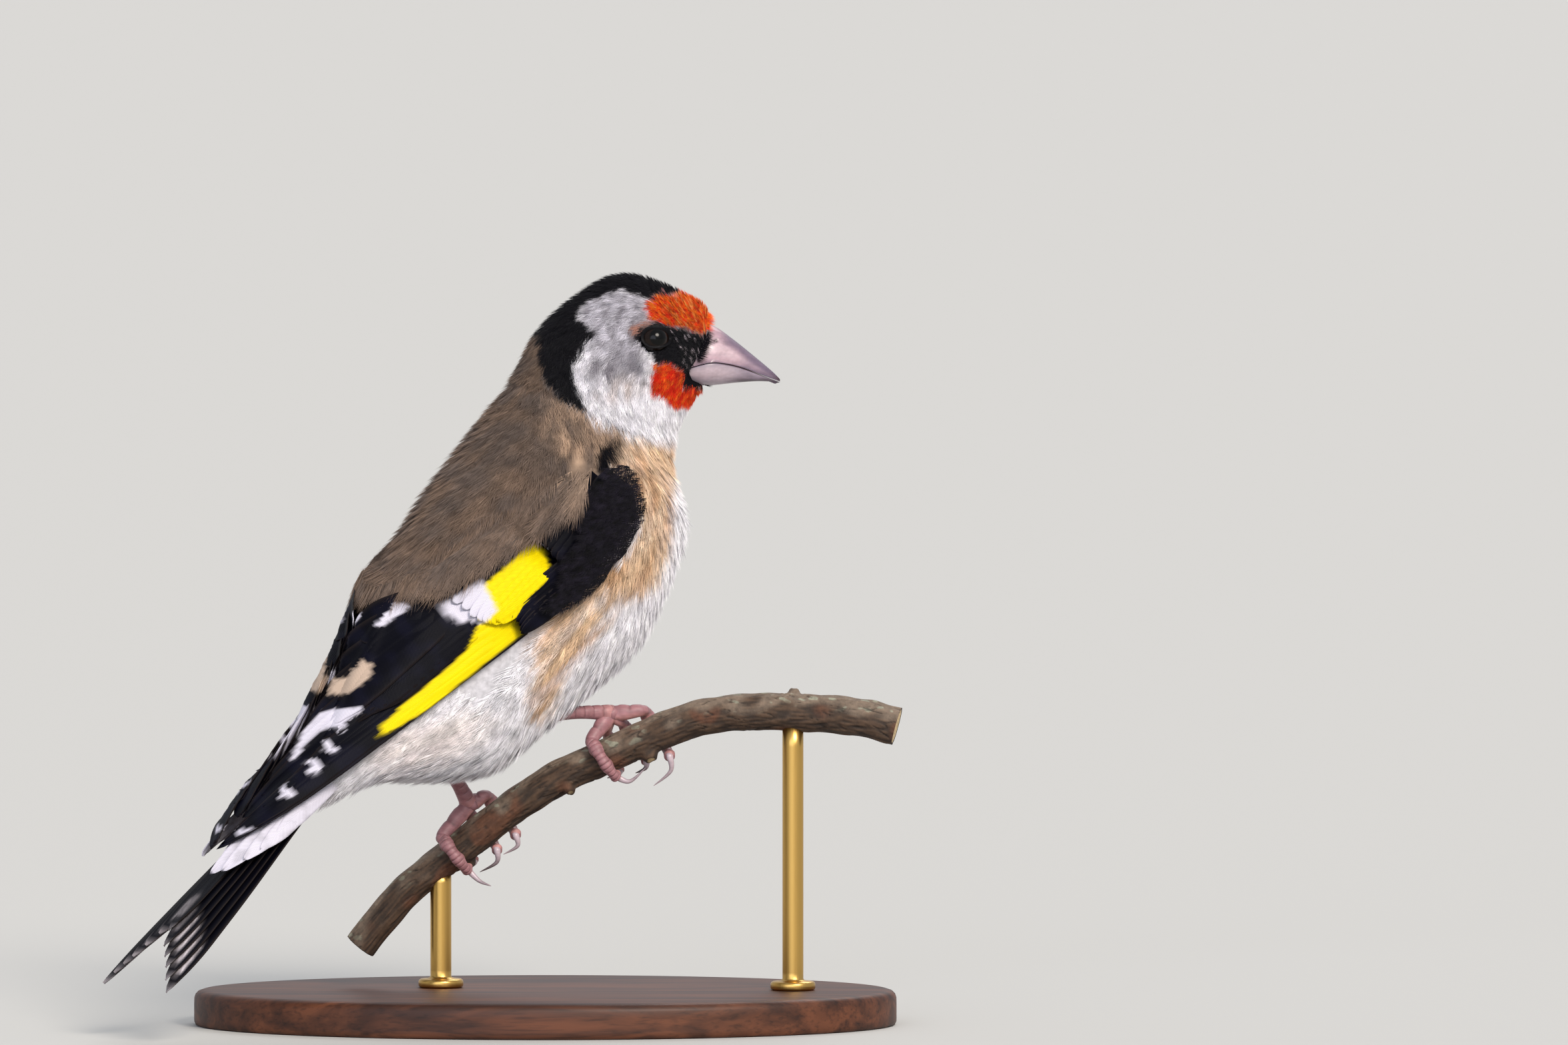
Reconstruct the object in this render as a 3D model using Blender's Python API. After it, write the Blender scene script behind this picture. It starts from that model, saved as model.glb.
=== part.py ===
"""European goldfinch as a still, life-size model on a cut branch and a display stand."""
import math
import random

import bmesh
import bpy
import numpy as np
from mathutils import Matrix, Vector

# All sizes are millimetres. X runs from tail to bill, Z is up, and the bird's right side faces -Y.
# A side point is (x, z), as the right side shows it.
MM = 0.001
GAP = 0.3
SEED = 7

# Rings of the body from the vent to the bill: back point, belly point, half width, and the
# turn away from the side view in degrees. The head alone is seen square from the side.
BODY_RINGS = (
    ((-38.4, 36.5), (-30.4, 33.3), 5.8, 33),
    ((-35.7, 40.7), (-24.9, 35.2), 8.1, 33),
    ((-32.9, 46.0), (-17.9, 35.2), 10.4, 33),
    ((-30.4, 52.4), (-9.0, 36.5), 12.5, 33),
    ((-28.2, 58.9), (-2.7, 41.5), 14.0, 33),
    ((-25.6, 65.6), (5.0, 47.9), 14.8, 32),
    ((-22.0, 71.6), (10.9, 53.1), 15.2, 31),
    ((-18.1, 77.1), (14.4, 58.8), 15.2, 30),
    ((-14.2, 82.4), (17.0, 65.7), 14.6, 29),
    ((-10.9, 86.6), (18.3, 71.7), 13.2, 26),
    ((-8.3, 89.9), (16.5, 78.8), 11.4, 20),
    ((-6.0, 94.1), (16.9, 83.5), 10.0, 13),
    ((-4.1, 98.0), (17.9, 85.9), 9.1, 7),
    ((-1.1, 101.2), (18.4, 87.0), 8.8, 3),
    ((2.7, 104.2), (19.0, 88.1), 8.6, 1),
    ((6.7, 106.5), (19.6, 88.9), 8.0, 0),
    ((10.4, 106.9), (20.0, 89.7), 7.2, 0),
    ((14.2, 105.8), (20.4, 90.3), 6.1, 0),
    ((17.6, 104.3), (20.7, 90.6), 5.1, 0),
    ((20.4, 102.8), (20.9, 90.8), 4.3, 0),
    ((21.7, 100.6), (21.0, 90.9), 3.7, 0),
)
STRAIGHT_RING = 14
NECK_START = 9.4
HEAD_START = 12.0
HEAD_END = 20.0
AROUND = 26
ROUNDNESS = 2.15

# Feathers rest this far off the smooth body, so that their flat facets stay clear of it.
REST = 0.6
MIDDLE_CLEAR = 0.3

# The tail: line of its middle from root to fork, and how it is stacked.
TAIL_ROOT = (-35.7, 35.0)
TAIL_MIDDLE_END = (-59.2, 9.7)
TAIL_TURN = 33
TAIL_FEATHERS = 6
TAIL_LENGTH_OUTER = 38.5
TAIL_LENGTH_INNER = 30.0
TAIL_HALF_ROOT = 3.6
TAIL_HALF_TIP = 8.0
TAIL_FEATHER_WIDTH = 4.6
TAIL_STACK = 0.31
TAIL_ARCH = 0.012
LEFT_UNDER_RIGHT = 0.05
TAIL_STATIONS = (0.0, 0.3, 0.6, 0.85, 1.0)
# The stump that the tail feathers grow from: distance down the tail, half width, half height.
STUMP_RINGS = ((0.0, 3.6, 1.7), (3.0, 3.9, 1.5), (8.0, 4.0, 1.0))
VANE_THICK = 0.55
# Rings of the surface that the wing tips and coverts lie on behind the body:
# distance down the tail, half width, height above the tail's middle plane.
TAIL_BACK_RINGS = (
    (2.0, 6.0, 2.8),
    (9.0, 6.4, 2.1),
    (17.0, 6.7, 1.7),
    (26.0, 7.0, 1.4),
    (36.0, 7.2, 1.2),
)

# Feathers of the folded wing, tier by tier, as the right side shows them. Roots and tips run
# along a curve through their side points, from the lowest or outermost feather inward.
WING_CORE = (
    ((9.3, 78.1), (11.1, 73.3)),
    ((5.2, 76.9), (8.1, 67.4)),
    ((0.9, 71.6), (2.1, 61.7)),
    ((-4.8, 66.9), (-3.8, 57.9)),
    ((-11.9, 63.8), (-9.0, 55.0)),
)
CORE_THICK = 0.7
# Feathers of a tier are counted from the outermost one. Lifts are from the body's surface,
# at the root and past it, and each next feather lies one step higher where they crowd.
LAYER_STEP = 0.21
LOOSE = 0.03
TIERS = {
    "primaries": dict(
        count=6, roots=((-4.8, 57.6), (-8.4, 62.9)),
        tips=((-47.2, 27.4), (-42.9, 30.6), (-38.3, 34.2), (-34.0, 37.6), (-31.5, 40.8), (-29.0, 43.6)),
        widths=(2.4, 3.6), low=0.25, high=0.1, step=0.8, tilt=0.14, point=0.3, over_tail=1),
    "secondaries": dict(
        count=4, roots=((-10.6, 58.5), (-14.1, 64.2)),
        tips=((-28.0, 46.4), (-32.5, 43.6), (-37.3, 40.1)),
        widths=(2.9, 5.8), low=0.4, high=1.0, step=1.0, tilt=0.14, point=0.55, over_tail=1),
    "tertials": dict(
        count=4, roots=((-14.2, 63.3), (-18.1, 66.9)),
        tips=((-35.5, 44.1), (-33.1, 49.6), (-30.0, 54.5), (-27.0, 59.5)),
        widths=(4.4, 7.4), low=0.4, high=1.5, step=0.4, tilt=0.1, point=0.65, over_tail=1),
    "primary_coverts": dict(
        count=3, roots=((6.2, 66.1), (3.8, 68.6)),
        tips=((-4.9, 56.8), (-5.9, 59.8)),
        widths=(2.2, 2.8), low=0.35, high=0.75, step=0.0, tilt=0.16, point=0.6, over_tail=1),
    "greater_coverts": dict(
        count=5, roots=((0.9, 66.3), (-5.1, 71.1)),
        tips=((-8.6, 58.1), (-16.6, 63.3)),
        widths=(2.8, 3.2), low=0.4, high=0.8, step=0.0, tilt=0.16, point=0.65, over_tail=1),
    "median_coverts": dict(
        count=4, roots=((7.4, 69.9), (2.7, 75.0)),
        tips=((2.5, 63.6), (-3.2, 69.9)),
        widths=(2.6, 3.2), low=0.45, high=0.98, step=0.0, tilt=0.16, point=0.65, over_tail=1),
    "lesser_coverts": dict(
        count=4, roots=((9.7, 74.5), (5.7, 78.1)),
        tips=((6.8, 67.5), (2.1, 74.3)),
        widths=(2.4, 3.2), low=0.5, high=1.22, step=0.0, tilt=0.16, point=0.65, over_tail=1),
    "wrist_coverts": dict(
        count=3, roots=((9.5, 77.1), (8.2, 79.2)),
        tips=((10.3, 71.8), (5.7, 76.8)),
        widths=(1.8, 2.6), low=0.55, high=1.45, step=0.0, tilt=0.16, point=0.65, over_tail=1),
}
TAIL_COVERTS = dict(
    count=3, roots=((-32.9, 35.9), (-35.5, 37.4)),
    tips=((-42.2, 25.8), (-48.6, 23.8)),
    widths=(2.4, 3.2), low=0.15, high=0.2, step=0.0, tilt=0.12, point=0.4, over_tail=0)
COVERT_CLEARANCE = 1.3
COVERT_CORE = (((-31.5, 35.5), (-35.9, 37.8)), ((-34.0, 33.4), (-38.0, 35.1)))
# The line of the folded wing along which its feathers crowd, from its bend to its tip.
WING_LINE = ((-5.9, 56.4), (-47.2, 27.5))

# Bill
CULMEN = ((21.9, 99.3), (24.7, 97.4), (27.7, 95.0), (30.2, 92.9), (31.4, 91.7))
MOUTH = ((21.6, 94.1), (23.3, 94.0), (25.8, 93.4), (29.0, 92.2), (31.4, 91.3))
GONYS = ((21.4, 90.9), (22.5, 90.9), (25.2, 91.2), (28.3, 91.4), (30.7, 91.3))
BILL_HALF_WIDTH = 3.4
MOUTH_GAP = 0.35
NOSTRIL = (22.6, 96.9)
NOSTRIL_RADIUS = 0.55

# Eyes
EYE = (13.9, 97.9)
EYE_RADIUS = 2.15
EYE_SUNK = 1.25
LID_HALF_WIDE = 1.95
LID_HALF_HIGH = 1.6
LID_THICK = 0.38
LID_POINTS = 14
RING_SIDES = 5

# Branch: its middle line from the lower cut to the upper cut, and its radius at each end.
BRANCH_LINE = (
    (-28.5, 10.8), (-22.8, 17.8), (-18.1, 21.9), (-13.3, 25.6), (-8.6, 29.4), (-3.8, 32.7),
    (0.9, 35.6), (5.7, 37.7), (10.4, 39.9), (15.2, 42.0), (19.9, 43.7), (24.7, 44.4),
    (29.4, 44.6), (34.2, 44.5), (39.0, 44.3), (43.7, 43.7), (48.0, 42.6),
)
BRANCH_RADIUS_LOW = 2.45
BRANCH_RADIUS_HIGH = 2.9
BRANCH_SIDES = 12
BARK_ROUGH = 0.09
BRANCH_DEPTH = -4.8
BRANCH_TURN = 6
KNOTS = ((0.17, 200, 1.5), (0.37, 150, 1.2), (0.52, 160, 1.6), (0.80, -20, 1.3))

# Legs and toes. Each toe has its first and last place along the branch, the turns round
# it in degrees from the top with the near side positive, its size, its claw and its hook.
FOOT_RIGHT = (7.3, 44.3)
FOOT_LEFT = (-12.9, 31.2)
TOES_RIGHT = (
    ((6.0, 145.7), (7.0, 145.7), 38, 150, 1.0, 4.6, 0.1),
    ((10.0, 145.7), (10.9, 145.7), -12, -150, 0.85, 3.2, 0.3),
    ((13.1, 145.7), (14.2, 145.7), -2, -172, 0.95, 3.6, 0.5),
    ((7.8, 145.7), (7.1, 145.7), -30, -140, 0.85, 3.0, 0.3),
)
TOES_LEFT = (
    ((-14.8, 145.7), (-14.8, 145.7), 38, 152, 1.0, 4.6, 0.1),
    ((-11.2, 145.7), (-11.2, 145.7), -12, -172, 0.9, 3.4, 0.6),
    ((-8.6, 145.7), (-8.4, 145.7), -8, -165, 0.95, 3.4, 0.5),
    ((-13.3, 145.7), (-14.1, 145.7), -30, -140, 0.85, 3.0, 0.3),
)
HIP_RIGHT = (-4.5, -10.5, 43.6)
HIP_LEFT = (-17.2, -8.5, 38.5)
LEG_RADIUS = 1.05
LEG_SWELL = (1.15, 1.02, 0.92, 0.9, 0.92, 1.0, 1.12)
LEG_BOW = 0.5
TOE_RADIUS = 0.82
TOE_STATIONS = 10
TOE_SIDES = 6
CLAW_RADIUS = 0.5
FOOT_RADIUS = 1.5

# Stand
BASE_CENTRE = (-2.0, -6.0)
BASE_HALF_LONG = 50.0
BASE_HALF_DEEP = 31.0
BASE_HIGH = 5.0
# The rim's profile from the floor up: how far in from the widest line, and its height.
BASE_PROFILE = ((0.5, 0.0), (0.0, 0.5), (0.0, 4.1), (0.35, 4.65), (1.2, BASE_HIGH))
BASE_CORNERS = 40
ROD_RADIUS = 1.5
ROD_COLLAR_RADIUS = 3.2
ROD_COLLAR_HIGH = 1.2
ROD_SIDES = 16
ROD_PLACES = {"stand_rod_low": 0.14, "stand_rod_high": 0.80}

COLOURS = {
    "torso": (0.40, 0.30, 0.22, 0.9),
    "neck": (0.32, 0.25, 0.20, 0.9),
    "head": (0.62, 0.60, 0.62, 0.9),
    "bill_upper": (0.55, 0.40, 0.40, 0.45),
    "bill_lower": (0.62, 0.48, 0.46, 0.45),
    "eye": (0.01, 0.008, 0.008, 0.08),
    "wing": (0.012, 0.012, 0.016, 0.6),
    "tail": (0.012, 0.012, 0.016, 0.6),
    "tail_coverts": (0.68, 0.66, 0.70, 0.85),
    "leg": (0.36, 0.18, 0.17, 0.55),
    "foot": (0.36, 0.18, 0.17, 0.55),
    "perch": (0.10, 0.07, 0.05, 0.9),
    "stand_base": (0.10, 0.05, 0.03, 0.35),
    "stand_rod": (0.60, 0.45, 0.22, 0.3),
}


def clear_scene():
    for thing in list(bpy.data.objects):
        bpy.data.objects.remove(thing)


def unit(vectors):
    length = np.linalg.norm(vectors, axis=-1, keepdims=True)
    return vectors / np.maximum(length, 1e-9)


def catmull(values, where):
    """Smooth curve through evenly numbered rows of values, read at the places in where."""
    values = np.asarray(values, float)
    where = np.clip(np.asarray(where, float), 0, len(values) - 1)
    low = np.clip(np.floor(where).astype(int), 0, len(values) - 2)
    part = (where - low).reshape(where.shape + (1,) * (values.ndim - 1))
    last = len(values) - 1
    before = values[np.maximum(low - 1, 0)]
    here = values[low]
    after = values[low + 1]
    beyond = values[np.minimum(low + 2, last)]
    return 0.5 * (2 * here + (after - before) * part
                  + (2 * before - 5 * here + 4 * after - beyond) * part ** 2
                  + (3 * here - before - 3 * after + beyond) * part ** 3)


def along(points, share):
    """Point at a share, 0 to 1, of a smooth curve through a few points."""
    return catmull(points, np.asarray(share, float) * (len(points) - 1))


class BodyShape:
    """Smooth surface of the bird: ring number and angle from the back give a point."""

    def __init__(self):
        back = np.array([ring[0] for ring in BODY_RINGS])
        belly = np.array([ring[1] for ring in BODY_RINGS])
        half_width = np.array([ring[2] for ring in BODY_RINGS], float)
        turn = np.radians([ring[3] for ring in BODY_RINGS])
        middle = (back + belly) / 2
        seen = (back - belly) / 2
        seen_half = np.linalg.norm(seen, axis=1)
        seen = seen / seen_half[:, None]
        depth = np.zeros(len(BODY_RINGS))
        for number in range(STRAIGHT_RING - 1, -1, -1):
            step = middle[number + 1, 0] - middle[number, 0]
            slope = math.tan((turn[number] + turn[number + 1]) / 2)
            depth[number] = depth[number + 1] - step * slope
        side = np.stack([np.sin(turn), -np.cos(turn), 0 * turn], axis=1)
        up = np.stack([seen[:, 0] * np.cos(turn) ** 2,
                       seen[:, 0] * np.sin(turn) * np.cos(turn), seen[:, 1]], axis=1)
        lean = np.linalg.norm(up, axis=1)
        sideways = half_width * seen[:, 0] * np.sin(turn)
        half_height = np.sqrt(np.maximum(seen_half ** 2 - sideways ** 2, 1.0)) / lean
        centre = np.stack([middle[:, 0], depth, middle[:, 1]], axis=1)
        self.tail_frame(centre[0])
        rings = list(reversed(TAIL_BACK_RINGS))
        behind = np.array([self.tail_point(ring[0], 0, 0) for ring in rings])
        self.first = len(rings)
        self.centre = np.concatenate([behind, centre])
        self.up = np.concatenate([np.tile(self.tail_up, (self.first, 1)), up / lean[:, None]])
        self.side = np.concatenate([np.tile(self.tail_side, (self.first, 1)), side])
        self.high = np.concatenate([[ring[2] for ring in rings], half_height])
        self.wide = np.concatenate([[ring[1] for ring in rings], half_width])

    def tail_frame(self, vent):
        turn = math.radians(TAIL_TURN)
        run = TAIL_MIDDLE_END[0] - TAIL_ROOT[0]
        drop = TAIL_MIDDLE_END[1] - TAIL_ROOT[1]
        self.tail_way = unit(np.array([run, run * math.tan(turn), drop]))
        self.tail_side = np.array([math.sin(turn), -math.cos(turn), 0.0])
        self.tail_up = np.cross(self.tail_side, self.tail_way)
        self.tail_up *= np.sign(self.tail_up[2])
        deep = vent[1] + (TAIL_ROOT[0] - vent[0]) * math.tan(turn)
        self.tail_root = np.array([TAIL_ROOT[0], deep, TAIL_ROOT[1]])

    def tail_point(self, down, sideways, height):
        return (self.tail_root + self.tail_way * down + self.tail_side * sideways
                + self.tail_up * height)

    def point(self, ring, angle):
        """Points for ring numbers (negative over the tail) and angles from the back."""
        ring = np.asarray(ring, float)
        angle = np.asarray(angle, float)
        ring, angle = np.broadcast_arrays(ring, angle)
        where = ring + self.first
        centre = catmull(self.centre, where)
        up = unit(catmull(self.up, where))
        side = unit(catmull(self.side, where))
        high = catmull(self.high, where)[..., None]
        wide = catmull(self.wide, where)[..., None]
        power = 2 / ROUNDNESS
        across = np.sign(np.sin(angle)) * np.abs(np.sin(angle)) ** power
        upward = np.sign(np.cos(angle)) * np.abs(np.cos(angle)) ** power
        return centre + up * high * upward[..., None] + side * wide * across[..., None]

    def normal(self, ring, angle):
        small = 0.02
        along_body = self.point(ring + small, angle) - self.point(ring - small, angle)
        around = self.point(ring, angle + small) - self.point(ring, angle - small)
        return unit(np.cross(around, along_body))

    def ring_plane(self, ring):
        """Centre and forward direction of one ring."""
        where = np.asarray(ring + self.first, float)
        up = unit(catmull(self.up, where))
        side = unit(catmull(self.side, where))
        forward = np.cross(up, side)
        if forward[0] < 0 and ring < STRAIGHT_RING:
            forward = -forward
        return catmull(self.centre, where), forward


def smooth_step(value):
    value = np.clip(value, 0, 1)
    return value * value * (3 - 2 * value)


# The wing lies in a shallow bed in the body, so that its upper edge runs in under the mantle.
BED_DEPTH = 1.9
BED_RINGS = (2.0, 4.0, 9.3, 10.6)
BED_UPPER = ((-1, 8), (2, 8), (4, 10), (6, 22), (8, 46), (10.5, 60))
BED_LOWER = ((-1, 125), (2, 112), (4, 104), (6, 104), (8, 106), (10.5, 100))
BED_EDGE = 12


def bed(ring, angle):
    """Depth of the bed for the wing at a place on the body, in millimetres."""
    degrees = np.abs(np.degrees((np.asarray(angle) + math.pi) % (2 * math.pi) - math.pi))
    upper = np.interp(ring, [row[0] for row in BED_UPPER], [row[1] for row in BED_UPPER])
    lower = np.interp(ring, [row[0] for row in BED_LOWER], [row[1] for row in BED_LOWER])
    inside = smooth_step((degrees - upper) / BED_EDGE) * smooth_step((lower - degrees) / BED_EDGE)
    fore = smooth_step((BED_RINGS[3] - ring) / (BED_RINGS[3] - BED_RINGS[2]))
    aft = smooth_step((ring - BED_RINGS[0]) / (BED_RINGS[1] - BED_RINGS[0]))
    return BED_DEPTH * inside * fore * aft


def flesh(shape, ring, angle, lift=0.0):
    """Point of the body's own surface, bed included, raised by lift along its normal."""
    ring, angle = np.broadcast_arrays(np.asarray(ring, float), np.asarray(angle, float))
    away = shape.normal(ring, angle)
    rise = np.asarray(lift, float) - bed(ring, angle)
    return shape.point(ring, angle) + away * rise[..., None]


def make_material(name, kind):
    red, green, blue, rough = COLOURS[kind]
    material = bpy.data.materials.new(name)
    material.use_nodes = True
    surface = material.node_tree.nodes["Principled BSDF"]
    surface.inputs["Base Color"].default_value = (red, green, blue, 1.0)
    surface.inputs["Roughness"].default_value = rough
    surface.inputs["Metallic"].default_value = 1.0 if kind == "stand_rod" else 0.0
    return material


def make_object(name, points, faces, kind=None):
    mesh = bpy.data.meshes.new(name)
    mesh.from_pydata((np.asarray(points) * MM).tolist(), [], faces)
    mesh.update()
    thing = bpy.data.objects.new(name, mesh)
    bpy.context.scene.collection.objects.link(thing)
    if kind:
        mesh.materials.append(make_material(name, kind))
    return thing


def lofted(rows):
    """Points and faces of a tube through equal rows of points, its ends closed by fans."""
    rows = np.asarray(rows)
    count, around = rows.shape[:2]
    points = rows.reshape(-1, 3)
    faces = []
    for row in range(count - 1):
        for step in range(around):
            after = (step + 1) % around
            first = row * around + step
            second = row * around + after
            third = (row + 1) * around + after
            fourth = (row + 1) * around + step
            faces.append((first, second, third))
            faces.append((first, third, fourth))
    points = np.concatenate([points, rows[0].mean(0)[None], rows[-1].mean(0)[None]])
    start, end = count * around, count * around + 1
    for step in range(around):
        after = (step + 1) % around
        faces.append((start, after, step))
        base = (count - 1) * around
        faces.append((end, base + step, base + after))
    return points, outward(points, faces)


def outward(points, faces):
    """Faces turned so that the solid's volume is positive."""
    corners = np.asarray(points)[np.asarray(faces)]
    volume = np.einsum("ij,ij->i", corners[:, 0], np.cross(corners[:, 1], corners[:, 2])).sum()
    if volume < 0:
        return [tuple(reversed(face)) for face in faces]
    return [tuple(int(corner) for corner in face) for face in faces]


def boolean(thing, others, operation):
    """Join or cut a solid with others in one step, then remove them."""
    group = bpy.data.collections.new("operands")
    bpy.context.scene.collection.children.link(group)
    for other in others:
        bpy.context.scene.collection.objects.unlink(other)
        group.objects.link(other)
    cut = thing.modifiers.new("join", "BOOLEAN")
    cut.operation = operation
    cut.operand_type = "COLLECTION"
    cut.collection = group
    cut.solver = "EXACT"
    bpy.context.view_layer.update()
    ready = thing.evaluated_get(bpy.context.evaluated_depsgraph_get())
    mesh = bpy.data.meshes.new_from_object(ready)
    thing.modifiers.remove(cut)
    materials = list(thing.data.materials)
    thing.data = mesh
    mesh.materials.clear()
    for material in materials:
        mesh.materials.append(material)
    for other in others:
        bpy.data.objects.remove(other)
    bpy.data.collections.remove(group)
    keep_largest(thing)


def keep_largest(thing):
    """Leave only the largest closed surface of a node, in triangles."""
    mesh = thing.data
    shell = bmesh.new()
    shell.from_mesh(mesh)
    bmesh.ops.triangulate(shell, faces=shell.faces[:])
    unseen = set(shell.faces)
    islands = []
    while unseen:
        queue = [unseen.pop()]
        island = []
        while queue:
            face = queue.pop()
            island.append(face)
            for edge in face.edges:
                for other in edge.link_faces:
                    if other in unseen:
                        unseen.remove(other)
                        queue.append(other)
        islands.append(island)
    islands.sort(key=len)
    for island in islands[:-1]:
        bmesh.ops.delete(shell, geom=island, context="FACES")
    loose = [corner for corner in shell.verts if not corner.link_faces]
    bmesh.ops.delete(shell, geom=loose, context="VERTS")
    for face in shell.faces:
        face.material_index = 0
    shell.to_mesh(mesh)
    shell.free()


def body_rows(shape, rings, start_plane=None, end_plane=None):
    """Rings of points round the body, the first and last on given planes."""
    angles = np.arange(AROUND) * 2 * math.pi / AROUND
    rows = [flesh(shape, np.full(AROUND, ring), angles) for ring in rings]
    if start_plane is not None:
        centre, forward = shape.ring_plane(start_plane)
        rows.insert(0, flesh(shape, np.full(AROUND, start_plane), angles) + forward * GAP)
    if end_plane is not None:
        rows.append(flesh(shape, np.full(AROUND, end_plane), angles))
    return rows


def make_body(shape):
    torso = body_rows(shape, np.arange(0, NECK_START - 0.2, 0.5), end_plane=NECK_START)
    make_object("torso", *lofted(torso), "torso")
    neck_rings = (NECK_START + 0.5, 10.5, 11.1, 11.6)
    neck = body_rows(shape, neck_rings, NECK_START, HEAD_START)
    make_object("neck", *lofted(neck), "neck")
    head_rings = np.arange(HEAD_START + 0.5, HEAD_END - 0.2, 0.5)
    head = body_rows(shape, head_rings, HEAD_START, HEAD_END)
    return make_object("head", *lofted(head), "head")


class SideFinder:
    """Finds where a side point lies on the near surface, raised by a lift."""

    def __init__(self, shape, lift):
        self.shape = shape
        rings = np.linspace(-4.9, 18, 460)
        angles = np.radians(np.linspace(-30, 160, 190))
        self.rings, self.angles = np.meshgrid(rings, angles, indexing="ij")
        points = flesh(shape, self.rings, self.angles, lift + over_tail(self.rings))
        away = shape.normal(self.rings, self.angles)
        self.hidden = away[..., 1] > 0.05
        self.across = points[..., 0]
        self.high = points[..., 2]

    def find(self, side_point):
        miss = (self.across - side_point[0]) ** 2 + (self.high - side_point[1]) ** 2
        miss = np.where(self.hidden, miss + 1e3, miss)
        best = np.unravel_index(np.argmin(miss), miss.shape)
        return clear_of_middle(self.shape, np.array([self.rings[best], self.angles[best]]))


def clear_of_middle(shape, place):
    """The same place, kept on its own side of the line down the middle of the back."""
    ring, angle = place
    least = math.asin(min(1.0, MIDDLE_CLEAR / catmull(shape.wide, ring + shape.first)))
    return np.array([ring, max(angle, least)])


def over_tail(ring):
    """Extra lift of the wing where its tip lies over the tail's coverts."""
    return COVERT_CLEARANCE * smooth_step((1.6 - np.asarray(ring)) / 1.8)


def step_on_surface(shape, place, aside):
    """Ring and angle reached by a small step, given in millimetres, over the surface."""
    small = 0.02
    ring, angle = place
    by_ring = (shape.point(ring + small, angle) - shape.point(ring - small, angle)) / (2 * small)
    by_angle = (shape.point(ring, angle + small) - shape.point(ring, angle - small)) / (2 * small)
    matrix = np.stack([by_ring, by_angle], axis=1)
    change = np.linalg.lstsq(matrix, aside, rcond=None)[0]
    return np.array([ring + change[0], angle + change[1]])


LONG_STATIONS = (0.0, 0.3, 0.6, 0.85, 1.0)
SHORT_STATIONS = (0.0, 0.45, 0.8, 1.0)
LONG_FEATHER = 22.0


def crowding(point):
    """How far a point is along the folded wing, 0 at its bend and 1 at its tip."""
    start, end = np.array(WING_LINE[0]), np.array(WING_LINE[1])
    line = end - start
    share = np.dot(np.array([point[0], point[2]]) - start, line) / np.dot(line, line)
    return smooth_step(share * 1.15)


def vane_rows(shape, root, tip, tier, number, hand, loose):
    """Top and bottom points of one feather laid on the body from root to tip."""
    top, bottom = [], []
    far = np.linalg.norm(shape.point(*tip) - shape.point(*root))
    stations = LONG_STATIONS if far > LONG_FEATHER else SHORT_STATIONS
    for share in stations:
        place = root + (tip - root) * share
        ahead = root + (tip - root) * (share + 0.02)
        here = shape.point(place[0], place[1])
        way = unit(shape.point(ahead[0], ahead[1]) - here)
        away = shape.normal(place[0], place[1])
        across = unit(np.cross(away, way))
        across *= np.sign(step_on_surface(shape, place, across)[1] - place[1])
        width = tier["widths"][0] + (tier["widths"][1] - tier["widths"][0]) * min(share / 0.6, 1)
        narrow = 1 - (1 - tier["point"]) * smooth_step((share - 0.65) / 0.35) ** 1.4
        half = width / 2 * narrow
        settle = smooth_step(share / 0.35)
        lift = tier["low"] + (tier["high"] - tier["low"]) * settle
        lift += tier["step"] * LAYER_STEP * number * crowding(here)
        lift += tier["over_tail"] * over_tail(place[0]) + loose
        thick = VANE_THICK * (1 - 0.3 * max(0.0, share - 0.7) / 0.3)
        for shift, rise in ((-half, -tier["tilt"]), (half, tier["tilt"])):
            spot = step_on_surface(shape, place, across * shift)
            spot = clear_of_middle(shape, spot)
            height = REST + max(lift + rise * settle, 0.05)
            bottom.append(flesh(shape, spot[0], spot[1] * hand, height))
            top.append(flesh(shape, spot[0], spot[1] * hand, height + thick))
    return top, bottom


def plate_solid(name, top, bottom, columns):
    """Closed solid between two like grids of points, split alike on both faces."""
    rows = len(top) // columns
    points = list(bottom) + list(top)
    high = len(bottom)
    faces = []
    for row in range(rows - 1):
        for column in range(columns - 1):
            one = row * columns + column
            two, three, four = one + 1, one + columns + 1, one + columns
            faces += [(one, three, two), (one, four, three)]
            faces += [(high + one, high + two, high + three)]
            faces += [(high + one, high + three, high + four)]
    rim = [column for column in range(columns)]
    rim += [row * columns + columns - 1 for row in range(1, rows)]
    rim += [(rows - 1) * columns + column for column in range(columns - 2, -1, -1)]
    rim += [row * columns for row in range(rows - 2, 0, -1)]
    for number, here in enumerate(rim):
        after = rim[(number + 1) % len(rim)]
        faces += [(here, after, high + after), (here, high + after, high + here)]
    return make_object(name, points, outward(points, faces))


def make_tier(shape, tier, hand, chance):
    pieces = []
    finder = SideFinder(shape, REST + tier["high"] + VANE_THICK if tier["over_tail"] else 0.0)
    for number in range(tier["count"]):
        share = number / (tier["count"] - 1)
        root = finder.find(along(tier["roots"], share))
        tip = finder.find(along(tier["tips"], share))
        reach = 1 + chance.uniform(-0.015, 0.015)
        tip = root + (tip - root) * reach
        loose = chance.uniform(-LOOSE, LOOSE)
        rows = vane_rows(shape, root, tip, tier, number, hand, loose)
        pieces.append(plate_solid("vane", *rows, 2))
    return pieces


def make_core(shape, finder, pairs, thick, hand):
    """Plate under the coverts that every feather of a wing is rooted in."""
    top, bottom = [], []
    for upper, lower in pairs:
        for share in (0.0, 0.5, 1.0):
            place = finder.find(np.asarray(upper) + (np.asarray(lower) - np.asarray(upper)) * share)
            bottom.append(flesh(shape, place[0], place[1] * hand, REST))
            top.append(flesh(shape, place[0], place[1] * hand, REST + thick))
    return plate_solid("core", top, bottom, 3)


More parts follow.
